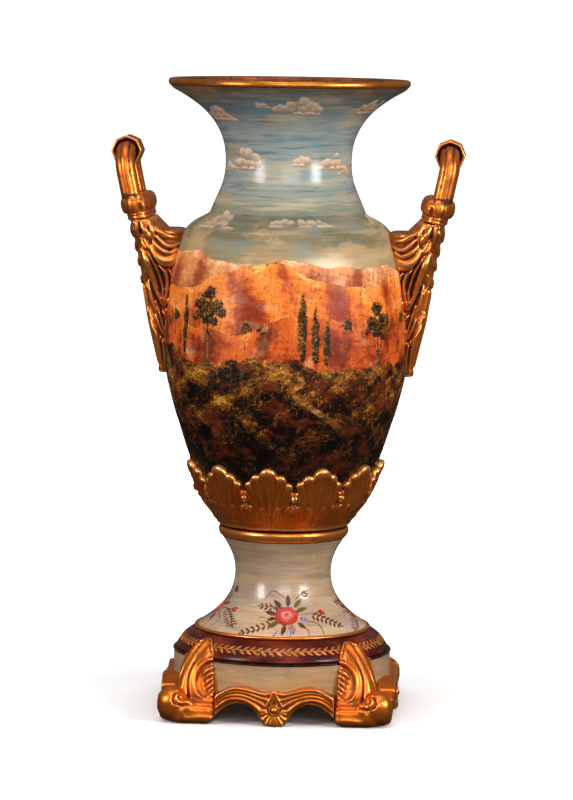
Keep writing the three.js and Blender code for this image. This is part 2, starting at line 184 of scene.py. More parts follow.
def put_vector(ob, name, values):
    a = ob.data.attributes.new(name, "FLOAT_VECTOR", "POINT")
    a.data.foreach_set("vector", np.asarray(values, np.float32).ravel())


def put_colour(ob, name, values):
    a = ob.data.attributes.new(name, "FLOAT_COLOR", "POINT")
    v = np.asarray(values, np.float32)
    v = np.concatenate([v, np.ones((len(v), 1), np.float32)], 1)
    a.data.foreach_set("color", v.ravel())


def edges_of(ob):
    e = np.empty(len(ob.data.edges) * 2, np.int32)
    ob.data.edges.foreach_get("vertices", e)
    return e.reshape(-1, 2)


def blur(values, e, count, steps):
    """Laplacian smoothing of per-vertex rows along the edges."""
    v = np.array(values, float)
    flat = v.ndim == 1
    if flat:
        v = v[:, None]
    a, b = e[:, 0], e[:, 1]
    deg = np.bincount(a, minlength=count) + np.bincount(b, minlength=count)
    deg = np.maximum(deg, 1)[:, None]
    for _ in range(steps):
        s = np.stack(
            [
                np.bincount(a, v[b, k], count) + np.bincount(b, v[a, k], count)
                for k in range(v.shape[1])
            ],
            1,
        )
        v = 0.4 * v + 0.6 * s / deg
    return v[:, 0] if flat else v


def add_cavity(ob, scale=1.6, steps=14, bias=0.0):
    """Attribute recess_and_shade: above 0 in a recess, below 0 on a ridge. Some pieces write painted shade into the
    same attribute.
    """
    co, nrm, e = coords(ob), normals(ob), edges_of(ob)
    sm = blur(co, e, len(co), steps)
    wide = blur(sm, e, len(co), steps * 3)
    c1 = ((sm - co) * nrm).sum(1) / scale
    c2 = ((wide - co) * nrm).sum(1) / (scale * 2.2)
    c = blur(np.clip(0.65 * c1 + 0.5 * c2, -1, 1), e, len(co), 1)
    put_float(ob, "recess_and_shade", c + bias)
    return c


def remesh(ob, voxel, smooth=2):
    m = ob.modifiers.new("remesh", "REMESH")
    m.mode = "VOXEL"
    m.voxel_size = voxel * MM
    m.use_smooth_shade = True
    apply_modifiers(ob)
    if smooth:
        co, e = coords(ob), edges_of(ob)
        set_coords(ob, blur(co, e, len(co), smooth))


def apply_modifiers(ob):
    dg = bpy.context.evaluated_depsgraph_get()
    me = bpy.data.meshes.new_from_object(ob.evaluated_get(dg))
    old = ob.data
    ob.modifiers.clear()
    mats = list(old.materials)
    ob.data = me
    me.materials.clear()
    for m in mats:
        me.materials.append(m)
    me.polygons.foreach_set("use_smooth", np.ones(len(me.polygons), bool))
    bpy.data.meshes.remove(old)
    me.name = ob.name


def copy_node(node, name, mats):
    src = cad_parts[node]
    me = src.data.copy()
    me.materials.clear()
    for m in mats:
        me.materials.append(m)
    ob = bpy.data.objects.new(name, me)
    bpy.context.scene.collection.objects.link(ob)
    return ob


def turned_copy(ob, name, degrees):
    """A copy turned round the axis, with the turn in its mesh."""
    me = ob.data.copy()
    me.transform(Matrix.Rotation(math.radians(degrees), 4, "Z"))
    new = bpy.data.objects.new(name, me)
    bpy.context.scene.collection.objects.link(new)
    return new


def settle(ob, slot, *nodes):
    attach(ob, "root")
    if nodes:
        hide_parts(*nodes)
    return ob


def lathe(name, outer, inner, seg, mats, sharp=50):
    """A closed turned shell: outer profile going up, inner going down, (radius, z) in mm."""
    loop = np.vstack([outer, inner])
    n = len(loop)
    ang = np.arange(seg) * 2 * math.pi / seg
    v = np.empty((seg, n, 3))
    v[:, :, 0] = loop[None, :, 0] * np.sin(ang)[:, None]
    v[:, :, 1] = -loop[None, :, 0] * np.cos(ang)[:, None]
    v[:, :, 2] = loop[None, :, 1]
    i, j = np.meshgrid(np.arange(seg), np.arange(n), indexing="ij")
    i2, j2 = (i + 1) % seg, (j + 1) % n
    f = np.stack([i * n + j, i2 * n + j, i2 * n + j2, i * n + j2], -1).reshape(-1, 4)
    jj = np.tile(np.arange(n), seg)
    face_mat = (jj >= len(outer) - 1).astype(np.int32) if len(mats) > 1 else None
    return make_mesh(name, v.reshape(-1, 3), f, mats, face_mat, sharp)


def grid_mesh(name, pts, mats, wrap_u=False, wrap_v=False, cap_v=False, sharp=None):
    """A mesh from a (nu, nv, 3) grid in mm. cap_v closes the first and last v rows with fans."""
    nu, nv = pts.shape[:2]
    iu = np.arange(nu if wrap_u else nu - 1)
    iv = np.arange(nv if wrap_v else nv - 1)
    i, j = np.meshgrid(iu, iv, indexing="ij")
    i2, j2 = (i + 1) % nu, (j + 1) % nv
    f = np.stack([i * nv + j, i2 * nv + j, i2 * nv + j2, i * nv + j2], -1)
    faces = f.reshape(-1, 4).tolist()
    verts = pts.reshape(-1, 3)
    if cap_v:
        base = len(verts)
        verts = np.vstack([verts, pts[:, 0].mean(0), pts[:, -1].mean(0)])
        for a in range(nu):
            b = (a + 1) % nu
            faces.append((base, b * nv, a * nv))
            faces.append((base + 1, a * nv + nv - 1, b * nv + nv - 1))
    return make_mesh(name, verts, faces, mats, None, sharp)


def seg_distance(q, a, b):
    ab = b - a
    t = np.clip(((q - a) @ ab) / max(ab @ ab, 1e-9), 0, 1)
    d = np.hypot(q[:, 0] - a[0] - t * ab[0], q[:, 1] - a[1] - t * ab[1])
    return d, t


def ridge_field(q, curves, power=0.5, soft=0.0):
    """Height at chart points from round ridges. A curve is [(x, z, radius, height), ...]."""
    h = np.zeros(len(q))
    for c in curves:
        c = np.asarray(c, float)
        if len(c) > 2:
            c = catmull(c, step=max(1.2, float(c[:, 2].mean()) * 0.35))
        lo = c[:, :2].min(0) - c[:, 2].max()
        hi = c[:, :2].max(0) + c[:, 2].max()
        near = np.flatnonzero(((q > lo) & (q < hi)).all(1))
        if not len(near):
            continue
        p = q[near]
        best = np.zeros(len(p))
        for k in range(len(c) - 1):
            d, t = seg_distance(p, c[k, :2], c[k + 1, :2])
            r = c[k, 2] + t * (c[k + 1, 2] - c[k, 2])
            m = c[k, 3] + t * (c[k + 1, 3] - c[k, 3])
            x = np.clip(1 - (d / np.maximum(r, 1e-3)) ** 2, 0, 1)
            g = np.abs(m) * x**power
            best = np.maximum(best, g)
        sign = 1 if c[:, 3].mean() >= 0 else -1
        if sign > 0:
            h[near] = np.maximum(h[near], best)
        else:
            h[near] = h[near] - best
    return h


def smoothstep(a, b, x):
    t = np.clip((x - a) / (b - a), 0, 1)
    return t * t * (3 - 2 * t)


# ---------------------------------------------------------------- materials
def lin(r, g, b):
    def one(v):
        v /= 255.0
        return v / 12.92 if v <= 0.04045 else ((v + 0.055) / 1.055) ** 2.4

    return (one(r), one(g), one(b), 1.0)


class Mat:
    """A short way to write a node material."""

    def __init__(self, name):
        self.m = bpy.data.materials.new(name)
        self.m.use_nodes = True
        self.t = self.m.node_tree
        self.t.nodes.clear()
        out = self.t.nodes.new("ShaderNodeOutputMaterial")
        self.b = self.t.nodes.new("ShaderNodeBsdfPrincipled")
        self.t.links.new(self.b.outputs[0], out.inputs[0])
        tc = self.t.nodes.new("ShaderNodeTexCoord")
        self.P = tc.outputs["Object"]
        sep = self.t.nodes.new("ShaderNodeSeparateXYZ")
        self.t.links.new(self.P, sep.inputs[0])
        self.X, self.Y, self.Z = sep.outputs

    def put(self, socket, value):
        if isinstance(value, bpy.types.NodeSocket):
            self.t.links.new(value, socket)
        elif value is not None:
            socket.default_value = value

    def set(self, name, value):
        self.put(self.b.inputs[name], value)

    def math(self, op, a, b=None, c=None, clamp=False):
        n = self.t.nodes.new("ShaderNodeMath")
        n.operation, n.use_clamp = op, clamp
        for s, v in zip(n.inputs, (a, b, c)):
            self.put(s, v)
        return n.outputs[0]

    def add(self, a, b):
        return self.math("ADD", a, b)

    def mul(self, a, b):
        return self.math("MULTIPLY", a, b)

    def comb(self, x, y, z):
        n = self.t.nodes.new("ShaderNodeCombineXYZ")
        for s, v in zip(n.inputs, (x, y, z)):
            self.put(s, v)
        return n.outputs[0]

    def vec(self, op, a, b):
        n = self.t.nodes.new("ShaderNodeVectorMath")
        n.operation = op
        self.put(n.inputs[0], a)
        self.put(n.inputs[1], b)
        return n.outputs[0]

    def noise(self, v, scale, detail=4.0, rough=0.55, distort=0.0, colour=False):
        n = self.t.nodes.new("ShaderNodeTexNoise")
        self.put(n.inputs["Vector"], v)
        n.inputs["Scale"].default_value = scale
        n.inputs["Detail"].default_value = detail
        n.inputs["Roughness"].default_value = rough
        n.inputs["Distortion"].default_value = distort
        return n.outputs[1 if colour else 0]

    def voronoi(self, v, scale, feature="F1", random=1.0):
        n = self.t.nodes.new("ShaderNodeTexVoronoi")
        n.feature = feature
        self.put(n.inputs["Vector"], v)
        n.inputs["Scale"].default_value = scale
        n.inputs["Randomness"].default_value = random
        return n.outputs

    def step(self, x, a, b, to0=0.0, to1=1.0):
        n = self.t.nodes.new("ShaderNodeMapRange")
        n.interpolation_type = "SMOOTHSTEP"
        self.put(n.inputs["Value"], x)
        self.put(n.inputs["From Min"], a)
        self.put(n.inputs["From Max"], b)
        self.put(n.inputs["To Min"], to0)
        self.put(n.inputs["To Max"], to1)
        return n.outputs[0]

    def ramp(self, x, stops):
        n = self.t.nodes.new("ShaderNodeValToRGB")
        cr = n.color_ramp
        while len(cr.elements) < len(stops):
            cr.elements.new(0.5)
        for e, (p, c) in zip(cr.elements, stops):
            e.position, e.color = p, c
        self.put(n.inputs[0], x)
        return n.outputs[0]

    def mix(self, f, a, b, blend="MIX"):
        n = self.t.nodes.new("ShaderNodeMix")
        n.data_type, n.blend_type = "RGBA", blend
        n.clamp_factor = True
        self.put(n.inputs[0], f)
        self.put(n.inputs[6], a)
        self.put(n.inputs[7], b)
        return n.outputs[2]

    def attr(self, name):
        n = self.t.nodes.new("ShaderNodeAttribute")
        n.attribute_name = name
        return n.outputs

    def attr3(self, name):
        sep = self.t.nodes.new("ShaderNodeSeparateXYZ")
        self.t.links.new(self.attr(name)[1], sep.inputs[0])
        return sep.outputs

    def stretch(self, sx, sy, sz):
        return self.vec("MULTIPLY", self.P, (sx, sy, sz))

    def bump(self, height, strength, distance):
        n = self.t.nodes.new("ShaderNodeBump")
        n.inputs["Strength"].default_value = strength
        n.inputs["Distance"].default_value = distance
        self.put(n.inputs["Height"], height)
        self.put(self.b.inputs["Normal"], n.outputs[0])

    def cracks(self, scale, width, seed):
        """A network of fine lines: 1 on a line, 0 beside it."""
        warp = self.noise(self.vec("ADD", self.P, (seed, 0, 0)), scale * 0.6, 3, colour=True)
        v = self.vec("ADD", self.P, self.vec("MULTIPLY", warp, (0.02, 0.02, 0.02)))
        d = self.voronoi(v, scale, "DISTANCE_TO_EDGE")[0]
        return self.step(d, width, width * 0.25)


def gilt(name, warm=0.0):
    """Antique copper-gold leaf: ridges lightened as wear and painted highlight, recesses darkened as brown patina and
    painted shade.
    """
    m = Mat(name)
    n1 = m.noise(m.P, 18, 6, 0.62)
    n2 = m.noise(m.P, 120, 7, 0.65)
    n3 = m.noise(m.P, 520, 4, 0.6)
    recess_and_shade = m.attr("recess_and_shade")[2]
    # Mask from the recess_and_shade attribute and noise: high in recesses and where painted shade was put, low on
    # ridges.
    patina_shade_and_highlight = m.add(m.add(recess_and_shade, m.mul(m.add(n2, -0.5), 0.55)), m.mul(m.add(n1, -0.5), 0.6))
    patina_and_shade = m.step(patina_shade_and_highlight, 0.00, 0.46)
    ridge = m.step(patina_shade_and_highlight, -0.10, -0.62)
    base = m.ramp(
        n1,
        [
            (0.30, (0.46 + warm, 0.104, 0.008, 1)),
            (0.48, (0.66 + warm, 0.170, 0.017, 1)),
            (0.62, (0.76 + warm, 0.225, 0.030, 1)),
            (0.74, (0.82 + warm, 0.290, 0.052, 1)),
        ],
    )
    base = m.mix(m.step(n3, 0.60, 0.8, 0, 0.5), base, (0.24, 0.062, 0.010, 1))
    worn = m.step(m.add(n1, m.mul(m.add(n2, -0.5), 0.7)), 0.58, 0.76, 0, 0.40)
    base = m.mix(worn, base, (0.27, 0.062, 0.008, 1))
    # Ridges: rubbed gilt made brighter as a painted highlight; recesses: brown patina that also serves as painted
    # shade.
    base = m.mix(m.mul(ridge, 0.85), base, (0.95, 0.46, 0.15, 1))
    base = m.mix(patina_and_shade, base, (0.058, 0.013, 0.004, 1))
    m.set("Base Color", base)
    m.set("Metallic", m.step(patina_and_shade, 0, 1, 0.80, 0.2))
    rough = m.add(m.step(patina_and_shade, 0, 1, 0.31, 0.62), m.mul(m.add(n2, -0.5), 0.24))
    m.set("Roughness", m.math("MAXIMUM", rough, 0.16))
    h = m.add(m.mul(m.noise(m.P, 60, 4, 0.5), 1.0), m.mul(m.noise(m.P, 260, 5, 0.6), 0.35))
    m.bump(m.add(h, m.mul(n3, 0.12)), 0.32, 0.0012)
    return m.m


def sky(m):
    """The painted sky shared by neck and shoulder, from the height and brushed streaks."""
    z = m.step(m.Z, 0.66, 0.99)
    zz = m.t.nodes.new("ShaderNodeMapRange")
    m.put(zz.inputs["Value"], m.add(m.Z, m.mul(m.add(m.noise(m.P, 7, 3), -0.5), 0.030)))
    zz.inputs["From Min"].default_value = 0.66
    zz.inputs["From Max"].default_value = 0.99
    t = zz.outputs[0]
    base = m.ramp(
        t,
        [
            (0.00, lin(196, 156, 100)),
            (0.14, lin(172, 146, 98)),
            (0.23, lin(140, 124, 90)),
            (0.32, lin(116, 108, 82)),
            (0.37, lin(108, 106, 86)),
            (0.43, lin(128, 132, 114)),
            (0.52, lin(148, 152, 142)),
            (0.64, lin(150, 156, 150)),
            (0.78, lin(142, 152, 151)),
            (0.90, lin(112, 126, 128)),
            (1.00, lin(98, 104, 100)),
        ],
    )
    long = m.noise(m.stretch(5, 5, 62), 1.0, 7, 0.62)
    fine = m.noise(m.stretch(16, 16, 260), 1.0, 6, 0.6)
    patch = m.noise(m.stretch(9, 9, 26), 1.0, 4, 0.5)
    c = m.mix(m.step(long, 0.50, 0.68, 0, 0.66), base, lin(190, 172, 142))
    c = m.mix(m.step(long, 0.50, 0.34, 0, 0.66), c, lin(76, 100, 108))
    c = m.mix(m.step(patch, 0.53, 0.66, 0, 0.55), c, lin(180, 148, 112))
    up = m.step(m.Z, 0.80, 0.84)
    c = m.mix(m.mul(up, m.step(patch, 0.47, 0.32, 0, 0.6)), c, lin(96, 132, 148))
    c = m.mix(m.step(fine, 0.46, 0.30, 0, 0.50), c, lin(52, 62, 60))
    c = m.mix(m.step(fine, 0.56, 0.72, 0, 0.36), c, lin(196, 186, 162))
    low = m.step(m.Z, 0.805, 0.775)
    c = m.mix(m.mul(low, 0.35), c, base)
    soft = m.noise(m.stretch(1, 1, 1.7), 13, 5, 0.58)
    c = m.mix(m.mul(low, m.step(soft, 0.51, 0.62, 0, 0.55)), c, lin(186, 156, 116))
    c = m.mix(m.mul(low, m.step(soft, 0.47, 0.36, 0, 0.50)), c, lin(118, 132, 130))
    return c, long, fine


def clouds(m, c):
    """Peach clouds where the attribute cl says, in puffs with paler tops."""
    cl = m.attr3("cl")
    edge = m.add(m.add(cl[0], 0.12), m.mul(m.add(m.noise(m.P, 90, 5, 0.6), -0.5), 0.7))
    body = m.step(edge, 0.0, 0.35)
    tone = m.add(cl[1], m.mul(m.add(m.noise(m.P, 110, 5, 0.6), -0.5), 1.5))
    col = m.ramp(
        m.math("MULTIPLY_ADD", tone, 0.5, 0.5),
        [
            (0.12, lin(124, 122, 122)),
            (0.36, lin(164, 142, 122)),
            (0.60, lin(206, 174, 144)),
            (0.90, lin(226, 202, 174)),
        ],
    )
    return m.mix(m.mul(body, m.step(m.Z, 0.80, 0.85, 0.62, 0.88)), c, col)


def crackle(m, c, strength, scale=46, seed=3.0):
    a = m.cracks(scale, 0.018, seed)
    b = m.cracks(scale * 2.3, 0.022, seed + 5)
    k = m.noise(m.P, 11, 3)
    a = m.mul(a, m.step(k, 0.40, 0.62, 0, strength))
    b = m.mul(b, m.step(k, 0.52, 0.70, 0, strength * 0.7))
    lines = m.math("MAXIMUM", a, b)
    return m.mix(lines, c, lin(46, 24, 14)), lines


def neck_glaze():
    m = Mat("sky_glaze_paint")
    c, long, fine = sky(m)
    c = clouds(m, c)
    c = m.mix(m.step(m.noise(m.P, 700, 3), 0.70, 0.78, 0, 0.35), c, lin(40, 34, 26))
    c, lines = crackle(m, c, 0.16, 60)
    rim = m.step(m.add(m.Z, m.mul(m.add(m.noise(m.P, 50, 5), -0.5), 0.014)), 0.972, 0.992)
    c = m.mix(m.mul(rim, 0.75), c, lin(92, 64, 36))
    m.set("Base Color", c)
    m.set("Roughness", m.add(m.mul(m.noise(m.P, 24, 4), 0.16), 0.14))
    m.set("Specular IOR Level", 0.36)
    m.set("Coat Weight", 0.10)
    m.set("Coat Roughness", 0.14)
    h = m.add(m.mul(fine, 0.5), m.mul(long, 0.4))
    m.bump(m.add(h, m.mul(lines, -0.6)), 0.10, 0.0006)
    return m.m


def dabs(m, scale, seed, warp=0.004):
    """Brush dabs: (soft dot, random value of its cell)."""
    w = m.noise(m.vec("ADD", m.P, (seed, seed, 0)), 60, 3, colour=True)
    v = m.vec("ADD", m.P, m.vec("MULTIPLY", w, (warp, warp, warp)))
    v = m.vec("ADD", v, (seed, 0, 0))
    out = m.voronoi(v, scale)
    sep = m.t.nodes.new("ShaderNodeSeparateColor")
    m.put(sep.inputs[0], out[1])
    return m.step(out[0], 0.52, 0.30), sep.outputs[0], sep.outputs[1]


def body_glaze():
    """A painted landscape: sky, folded terracotta hills, a winding path, groves and dark shrubs, in layers."""
    m = Mat("landscape_glaze_paint")
    c, long, fine = sky(m)
    c = clouds(m, c)
    hills = m.attr3("hills")
    fold = m.attr3("fold")
    wood = m.attr3("wood")
    shrub = m.attr3("shrub")
    mass = m.attr3("mass")
    near_noise = m.add(m.noise(m.P, 70, 6, 0.6), -0.5)
    broad = m.noise(m.P, 13, 5, 0.6)
    fine2 = m.noise(m.P, 230, 6, 0.68)
    warp = m.vec("MULTIPLY", m.noise(m.P, 26, 3, colour=True), (0.012, 0.012, 0.012))
    flow = m.vec("ADD", m.stretch(1, 1, 1.7), warp)

    glow = m.step(m.add(mass[2], m.mul(near_noise, 0.4)), 0.0, 1.0)
    c = m.mix(m.mul(glow, 0.8), c, lin(232, 206, 176))

    def stroke(h, a, b):
        return m.noise(m.comb(m.mul(m.X, a), m.mul(m.Y, a), m.mul(h, b)), 1.0, 7, 0.66)

    # far, middle and near hills: h is the depth under the crest in cm, fold its light side
    specs = [
        (hills[0], fold[0], 0.24, (240, 190, 142), (222, 148, 92), (186, 104, 66), (150, 66, 36), 26, 1.5),
        (hills[1], fold[1], 0.28, (250, 182, 100), (232, 134, 56), (194, 84, 32), (126, 38, 16), 40, 1.2),
        (hills[2], fold[2], 0.32, (240, 152, 72), (206, 98, 36), (152, 56, 24), (88, 26, 12), 48, 1.1),
    ]
    rill = m.math("ABSOLUTE", m.add(m.noise(m.vec("ADD", m.stretch(46, 46, 10), m.vec("MULTIPLY", warp, (90, 90, 90))), 1.0, 5, 0.6), -0.5))
    rill = m.step(rill, 0.016, 0.003)
    seam = m.math("ABSOLUTE", m.add(m.noise(m.vec("ADD", m.stretch(14, 14, 62), m.vec("MULTIPLY", warp, (60, 60, 60))), 1.0, 5, 0.6), -0.5))
    seam = m.step(seam, 0.014, 0.003)
    for h, fo, rough, top, mid, low, deep, a, b in specs:
        mask = m.step(m.add(h, m.mul(near_noise, rough)), -0.02, 0.05)
        s = stroke(h, a, b)
        s2 = m.noise(flow, 85, 7, 0.72)
        s3 = m.noise(m.stretch(40, 40, 9), 1.0, 7, 0.68)
        tone = m.add(m.mul(fo, 0.22), m.mul(m.add(s, -0.5), 0.75))
        tone = m.add(tone, m.mul(m.add(broad, -0.5), 0.50))
        tone = m.add(tone, m.mul(m.add(s2, -0.5), 0.60))
        tone = m.add(tone, m.mul(m.add(s3, -0.5), 0.85))
        tone = m.add(tone, m.step(h, 0.0, 1.6, 0.22, 0.0))
        col = m.ramp(
            m.add(tone, 0.46),
            [(0.02, lin(*deep)), (0.26, lin(*low)), (0.46, lin(*mid)), (0.58, lin(*mid)), (0.84, lin(*top))],
        )
        pale = m.step(m.noise(flow, 21, 4, 0.55), 0.54, 0.70, 0, 0.42)
        col = m.mix(pale, col, lin(240, 186, 140))
        rosy = m.step(m.noise(m.P, 17, 5), 0.54, 0.70, 0, 0.45)
        col = m.mix(rosy, col, lin(190, 70, 44))
        lean = m.add(fo, m.add(m.mul(m.add(s3, -0.5), 1.6), m.mul(m.add(broad, -0.5), 1.2)))
        shade = m.step(lean, -0.36, -1.15, 0, 0.62)
        col = m.mix(shade, col, lin(*deep))
        col = m.mix(m.mul(rill, m.step(m.add(fine2, m.mul(near_noise, 0.8)), 0.42, 0.56, 0, 0.72)), col, lin(*[int(v * 0.55) for v in low]))
        col = m.mix(m.mul(seam, m.step(m.add(fine2, m.mul(near_noise, -0.8)), 0.46, 0.58, 0, 0.60)), col, lin(*[int(v * 0.60) for v in low]))
        edge = m.mul(m.step(h, 0.0, 0.16, 1.0, 0.0), m.step(fine2, 0.40, 0.56, 0, 0.8))
        col = m.mix(edge, col, lin(*[int(v * 0.42) for v in low]))
        c = m.mix(mask, c, col)

    cr1 = m.cracks(95, 0.030, 2.0)
    cr2 = m.cracks(170, 0.035, 6.0)
    onhill = m.step(hills[0], 0.1, 0.4)
    cr = m.math("MAXIMUM", m.mul(cr1, m.step(broad, 0.44, 0.58, 0, 0.40)), m.mul(cr2, m.step(broad, 0.58, 0.46, 0, 0.30)))
    c = m.mix(m.mul(cr, onhill), c, lin(70, 26, 14))

    dab1, tint1, _ = dabs(m, 190, 0.0, 0.010)
    dab2, tint2, _ = dabs(m, 360, 4.0, 0.008)

    def foliage(tone, ramp):
        n1 = m.noise(flow, 62, 8, 0.70)
        n2 = m.noise(flow, 240, 6, 0.72)
        t = m.add(tone, m.mul(m.add(n1, -0.5), 1.15))
        t = m.add(t, m.mul(m.add(n2, -0.5), 0.95))
        t = m.add(t, m.mul(m.mul(dab1, m.add(tint1, -0.55)), 0.56))
        t = m.add(t, m.mul(m.mul(dab2, m.add(tint2, -0.50)), 0.62))
        return m.ramp(t, [(p, lin(*k)) for p, k in ramp])

    # trees: crown depth, light side, trunk
    leafy = m.add(m.mul(near_noise, 0.75), m.mul(m.add(fine2, -0.5), 0.55))
    trunk = m.step(m.add(wood[2], m.mul(near_noise, 0.10)), -0.015, 0.015)
    tcol = m.mix(m.step(m.noise(m.P, 260, 4), 0.42, 0.6), lin(44, 22, 12), lin(150, 104, 60))
    c = m.mix(trunk, c, tcol)
    ragged = m.add(m.mul(leafy, 1.25), m.mul(m.mul(dab2, m.add(tint2, -0.35)), 0.55))
    crown = m.step(m.add(m.add(wood[0], -0.10), ragged), -0.03, 0.06)
    green = foliage(
        m.add(m.mul(wood[1], 0.26), 0.44),
        [(0.10, (15, 9, 6)), (0.30, (42, 25, 11)), (0.46, (76, 50, 18)), (0.60, (116, 78, 28)), (0.76, (168, 116, 44)), (0.95, (214, 168, 84))],
    )
    c = m.mix(crown, c, green)

    # shrubs, their masses darker towards the foot
    low = m.step(m.Z, 0.560, 0.400)
    bush = m.step(m.add(shrub[0], m.add(ragged, 0.05)), -0.03, 0.06)
    tone = m.add(m.mul(shrub[1], 0.24), m.mul(mass[0], 0.62))
    tone = m.add(tone, m.mul(low, -0.36))
    brown = foliage(
        m.add(tone, 0.12),
        [(0.14, (13, 8, 7)), (0.28, (34, 18, 11)), (0.42, (70, 38, 14)), (0.54, (106, 62, 21)), (0.70, (138, 86, 28)),
         (0.85, (176, 122, 44)), (0.99, (212, 166, 78))],
    )
    red = m.step(m.noise(m.stretch(1, 1, 1.8), 26, 5, 0.6), 0.50, 0.64, 0, 0.62)
    brown = m.mix(m.mul(red, m.step(tone, 0.75, 0.2)), brown, lin(112, 46, 20))
    c = m.mix(bush, c, brown)

    path = m.step(m.add(mass[1], m.mul(near_noise, 0.5)), -0.04, 0.10)
    pn = m.noise(m.stretch(40, 40, 130), 1.0, 6, 0.65)
    pcol = m.ramp(pn, [(0.30, lin(84, 46, 20)), (0.48, lin(148, 94, 44)), (0.66, lin(204, 150, 86))])
    broken = m.step(m.add(fine2, m.mul(near_noise, 0.8)), 0.34, 0.50, 0.0, 0.9)
    c = m.mix(m.mul(m.mul(path, broken), m.step(m.Z, 0.440, 0.500)), c, pcol)

    # grass blades: thin wandering light strokes
    blades = m.noise(m.stretch(1, 1, 0.5), 95, 2, 0.4, 1.2)
    line = m.step(m.math("ABSOLUTE", m.add(blades, -0.5)), 0.014, 0.003)
    line = m.mul(line, m.mul(bush, m.step(m.noise(m.P, 30, 3), 0.50, 0.60, 0, 0.62)))
    c = m.mix(line, c, lin(176, 132, 74))
    c = m.mix(m.step(m.Z, 0.47, 0.385, 0, 0.50), c, lin(16, 8, 7))

    c, lines = crackle(m, c, 0.14, 58)
    m.set("Base Color", c)
    m.set("Roughness", m.add(m.mul(m.noise(m.P, 30, 4), 0.20), 0.36))
    m.set("Specular IOR Level", 0.16)
    m.set("Coat Weight", 0.05)
    m.set("Coat Roughness", 0.16)
    paint = m.add(m.mul(fine2, 0.8), m.mul(cr, -0.6))
    m.bump(m.add(paint, m.mul(lines, -0.9)), 0.16, 0.0007)
    return m.m


def cream(name, base, mauve, olive, brown, seed, gloss=0.16):
    """Greige paint brushed in horizontal streaks."""
    m = Mat(name)
    off = m.vec("ADD", m.P, (seed, seed * 0.7, 0))

    def st(a, b):
        return m.vec("MULTIPLY", off, (a, a, b))

    long = m.noise(st(6, 70), 1.0, 7, 0.62)
    fine = m.noise(st(20, 320), 1.0, 6, 0.62)
    patch = m.noise(st(7, 17), 1.0, 4, 0.55)
    patch2 = m.noise(m.vec("ADD", st(8, 15), (7, 3, 1)), 1.0, 4, 0.55)
    c = m.ramp(long, [(0.32, lin(*[int(v * 0.86) for v in base])), (0.5, lin(*base)), (0.68, lin(*[min(255, int(v * 1.09)) for v in base]))])
    c = m.mix(m.step(patch, 0.50, 0.66, 0, 0.60), c, lin(*olive))
    c = m.mix(m.step(patch2, 0.50, 0.66, 0, 0.55), c, lin(*mauve))
    c = m.mix(m.step(m.noise(m.P, 19, 5, 0.6), 0.58, 0.74, 0, 0.40), c, lin(*brown))
    c = m.mix(m.step(fine, 0.44, 0.30, 0, 0.42), c, lin(*brown))
    c = m.mix(m.step(fine, 0.58, 0.72, 0, 0.34), c, lin(226, 214, 194))
    c = m.mix(m.step(m.noise(m.P, 620, 3), 0.70, 0.77, 0, 0.4), c, lin(70, 44, 28))
    c, lines = crackle(m, c, 0.12, 52, seed)
    m.set("Base Color", c)
    m.set("Roughness", m.add(m.mul(m.noise(m.P, 26, 4), 0.18), gloss))
    m.set("Coat Weight", 0.25)
    m.set("Coat Roughness", 0.12)
    m.bump(m.add(m.mul(fine, 0.6), m.mul(long, 0.3)), 0.12, 0.0006)
    return m.m


def burgundy():
    m = Mat("burgundy_lacquer_paint")
    n = m.noise(m.P, 14, 5, 0.6)
    s = m.noise(m.stretch(30, 30, 90), 1.0, 5, 0.6)
    c = m.ramp(n, [(0.30, lin(40, 7, 5)), (0.5, lin(74, 15, 8)), (0.72, lin(116, 40, 14))])
    c = m.mix(m.step(s, 0.52, 0.72, 0, 0.6), c, lin(132, 54, 20))
    c = m.mix(m.step(m.noise(m.P, 300, 4), 0.62, 0.76, 0, 0.5), c, lin(26, 6, 5))
    c = m.mix(m.step(m.Z, 0.0990, 0.0965, 0, 0.85), c, lin(18, 5, 5))
    m.set("Base Color", c)
    m.set("Specular IOR Level", 0.26)
    m.set("Roughness", m.add(m.mul(n, 0.14), 0.22))
    m.set("Coat Weight", 0.06)
    m.set("Coat Roughness", 0.15)
    m.bump(m.noise(m.P, 160, 4), 0.10, 0.0005)
    return m.m


def dark_edge():
    m = Mat("dark_edge_paint")
    n = m.noise(m.P, 60, 5)
    c = m.ramp(n, [(0.3, lin(30, 6, 5)), (0.6, lin(52, 12, 9)), (0.8, lin(84, 30, 14))])
    m.set("Specular IOR Level", 0.2)
    m.set("Base Color", c)
    m.set("Roughness", m.add(m.mul(n, 0.2), 0.18))
    m.bump(m.noise(m.P, 240, 4), 0.04, 0.0003)
    return m.m


def interior():
    m = Mat("interior_wash")
    n = m.noise(m.stretch(10, 10, 40), 1.0, 6)
    c = m.ramp(n, [(0.3, lin(58, 42, 30)), (0.5, lin(92, 70, 50)), (0.72, lin(126, 102, 74))])
    c = m.mix(m.step(m.noise(m.P, 180, 5), 0.58, 0.75, 0, 0.5), c, lin(40, 26, 18))
    m.set("Base Color", c)
    m.set("Roughness", m.add(m.mul(n, 0.25), 0.5))
    m.bump(m.noise(m.P, 140, 5), 0.25, 0.001)
    return m.m


def painted(name, rough=0.3, metal=0.0):
    """Brush paint whose colour the mesh carries, broken by noise."""
    m = Mat(name)
    c = m.attr("paint")[0]
    n = m.noise(m.P, 420, 5, 0.6)
    n2 = m.noise(m.P, 90, 4)
    c = m.mix(m.step(n, 0.50, 0.32, 0, 0.35), c, lin(70, 30, 20))
    c = m.mix(m.step(n2, 0.55, 0.75, 0, 0.18), c, lin(236, 214, 190))
    m.set("Base Color", c)
    if metal:
        m.set("Metallic", m.step(n, 0.3, 0.7, metal * 0.6, metal))
    m.set("Roughness", m.add(m.mul(n2, 0.2), rough))
    m.bump(n, 0.12, 0.0003)
    return m.m


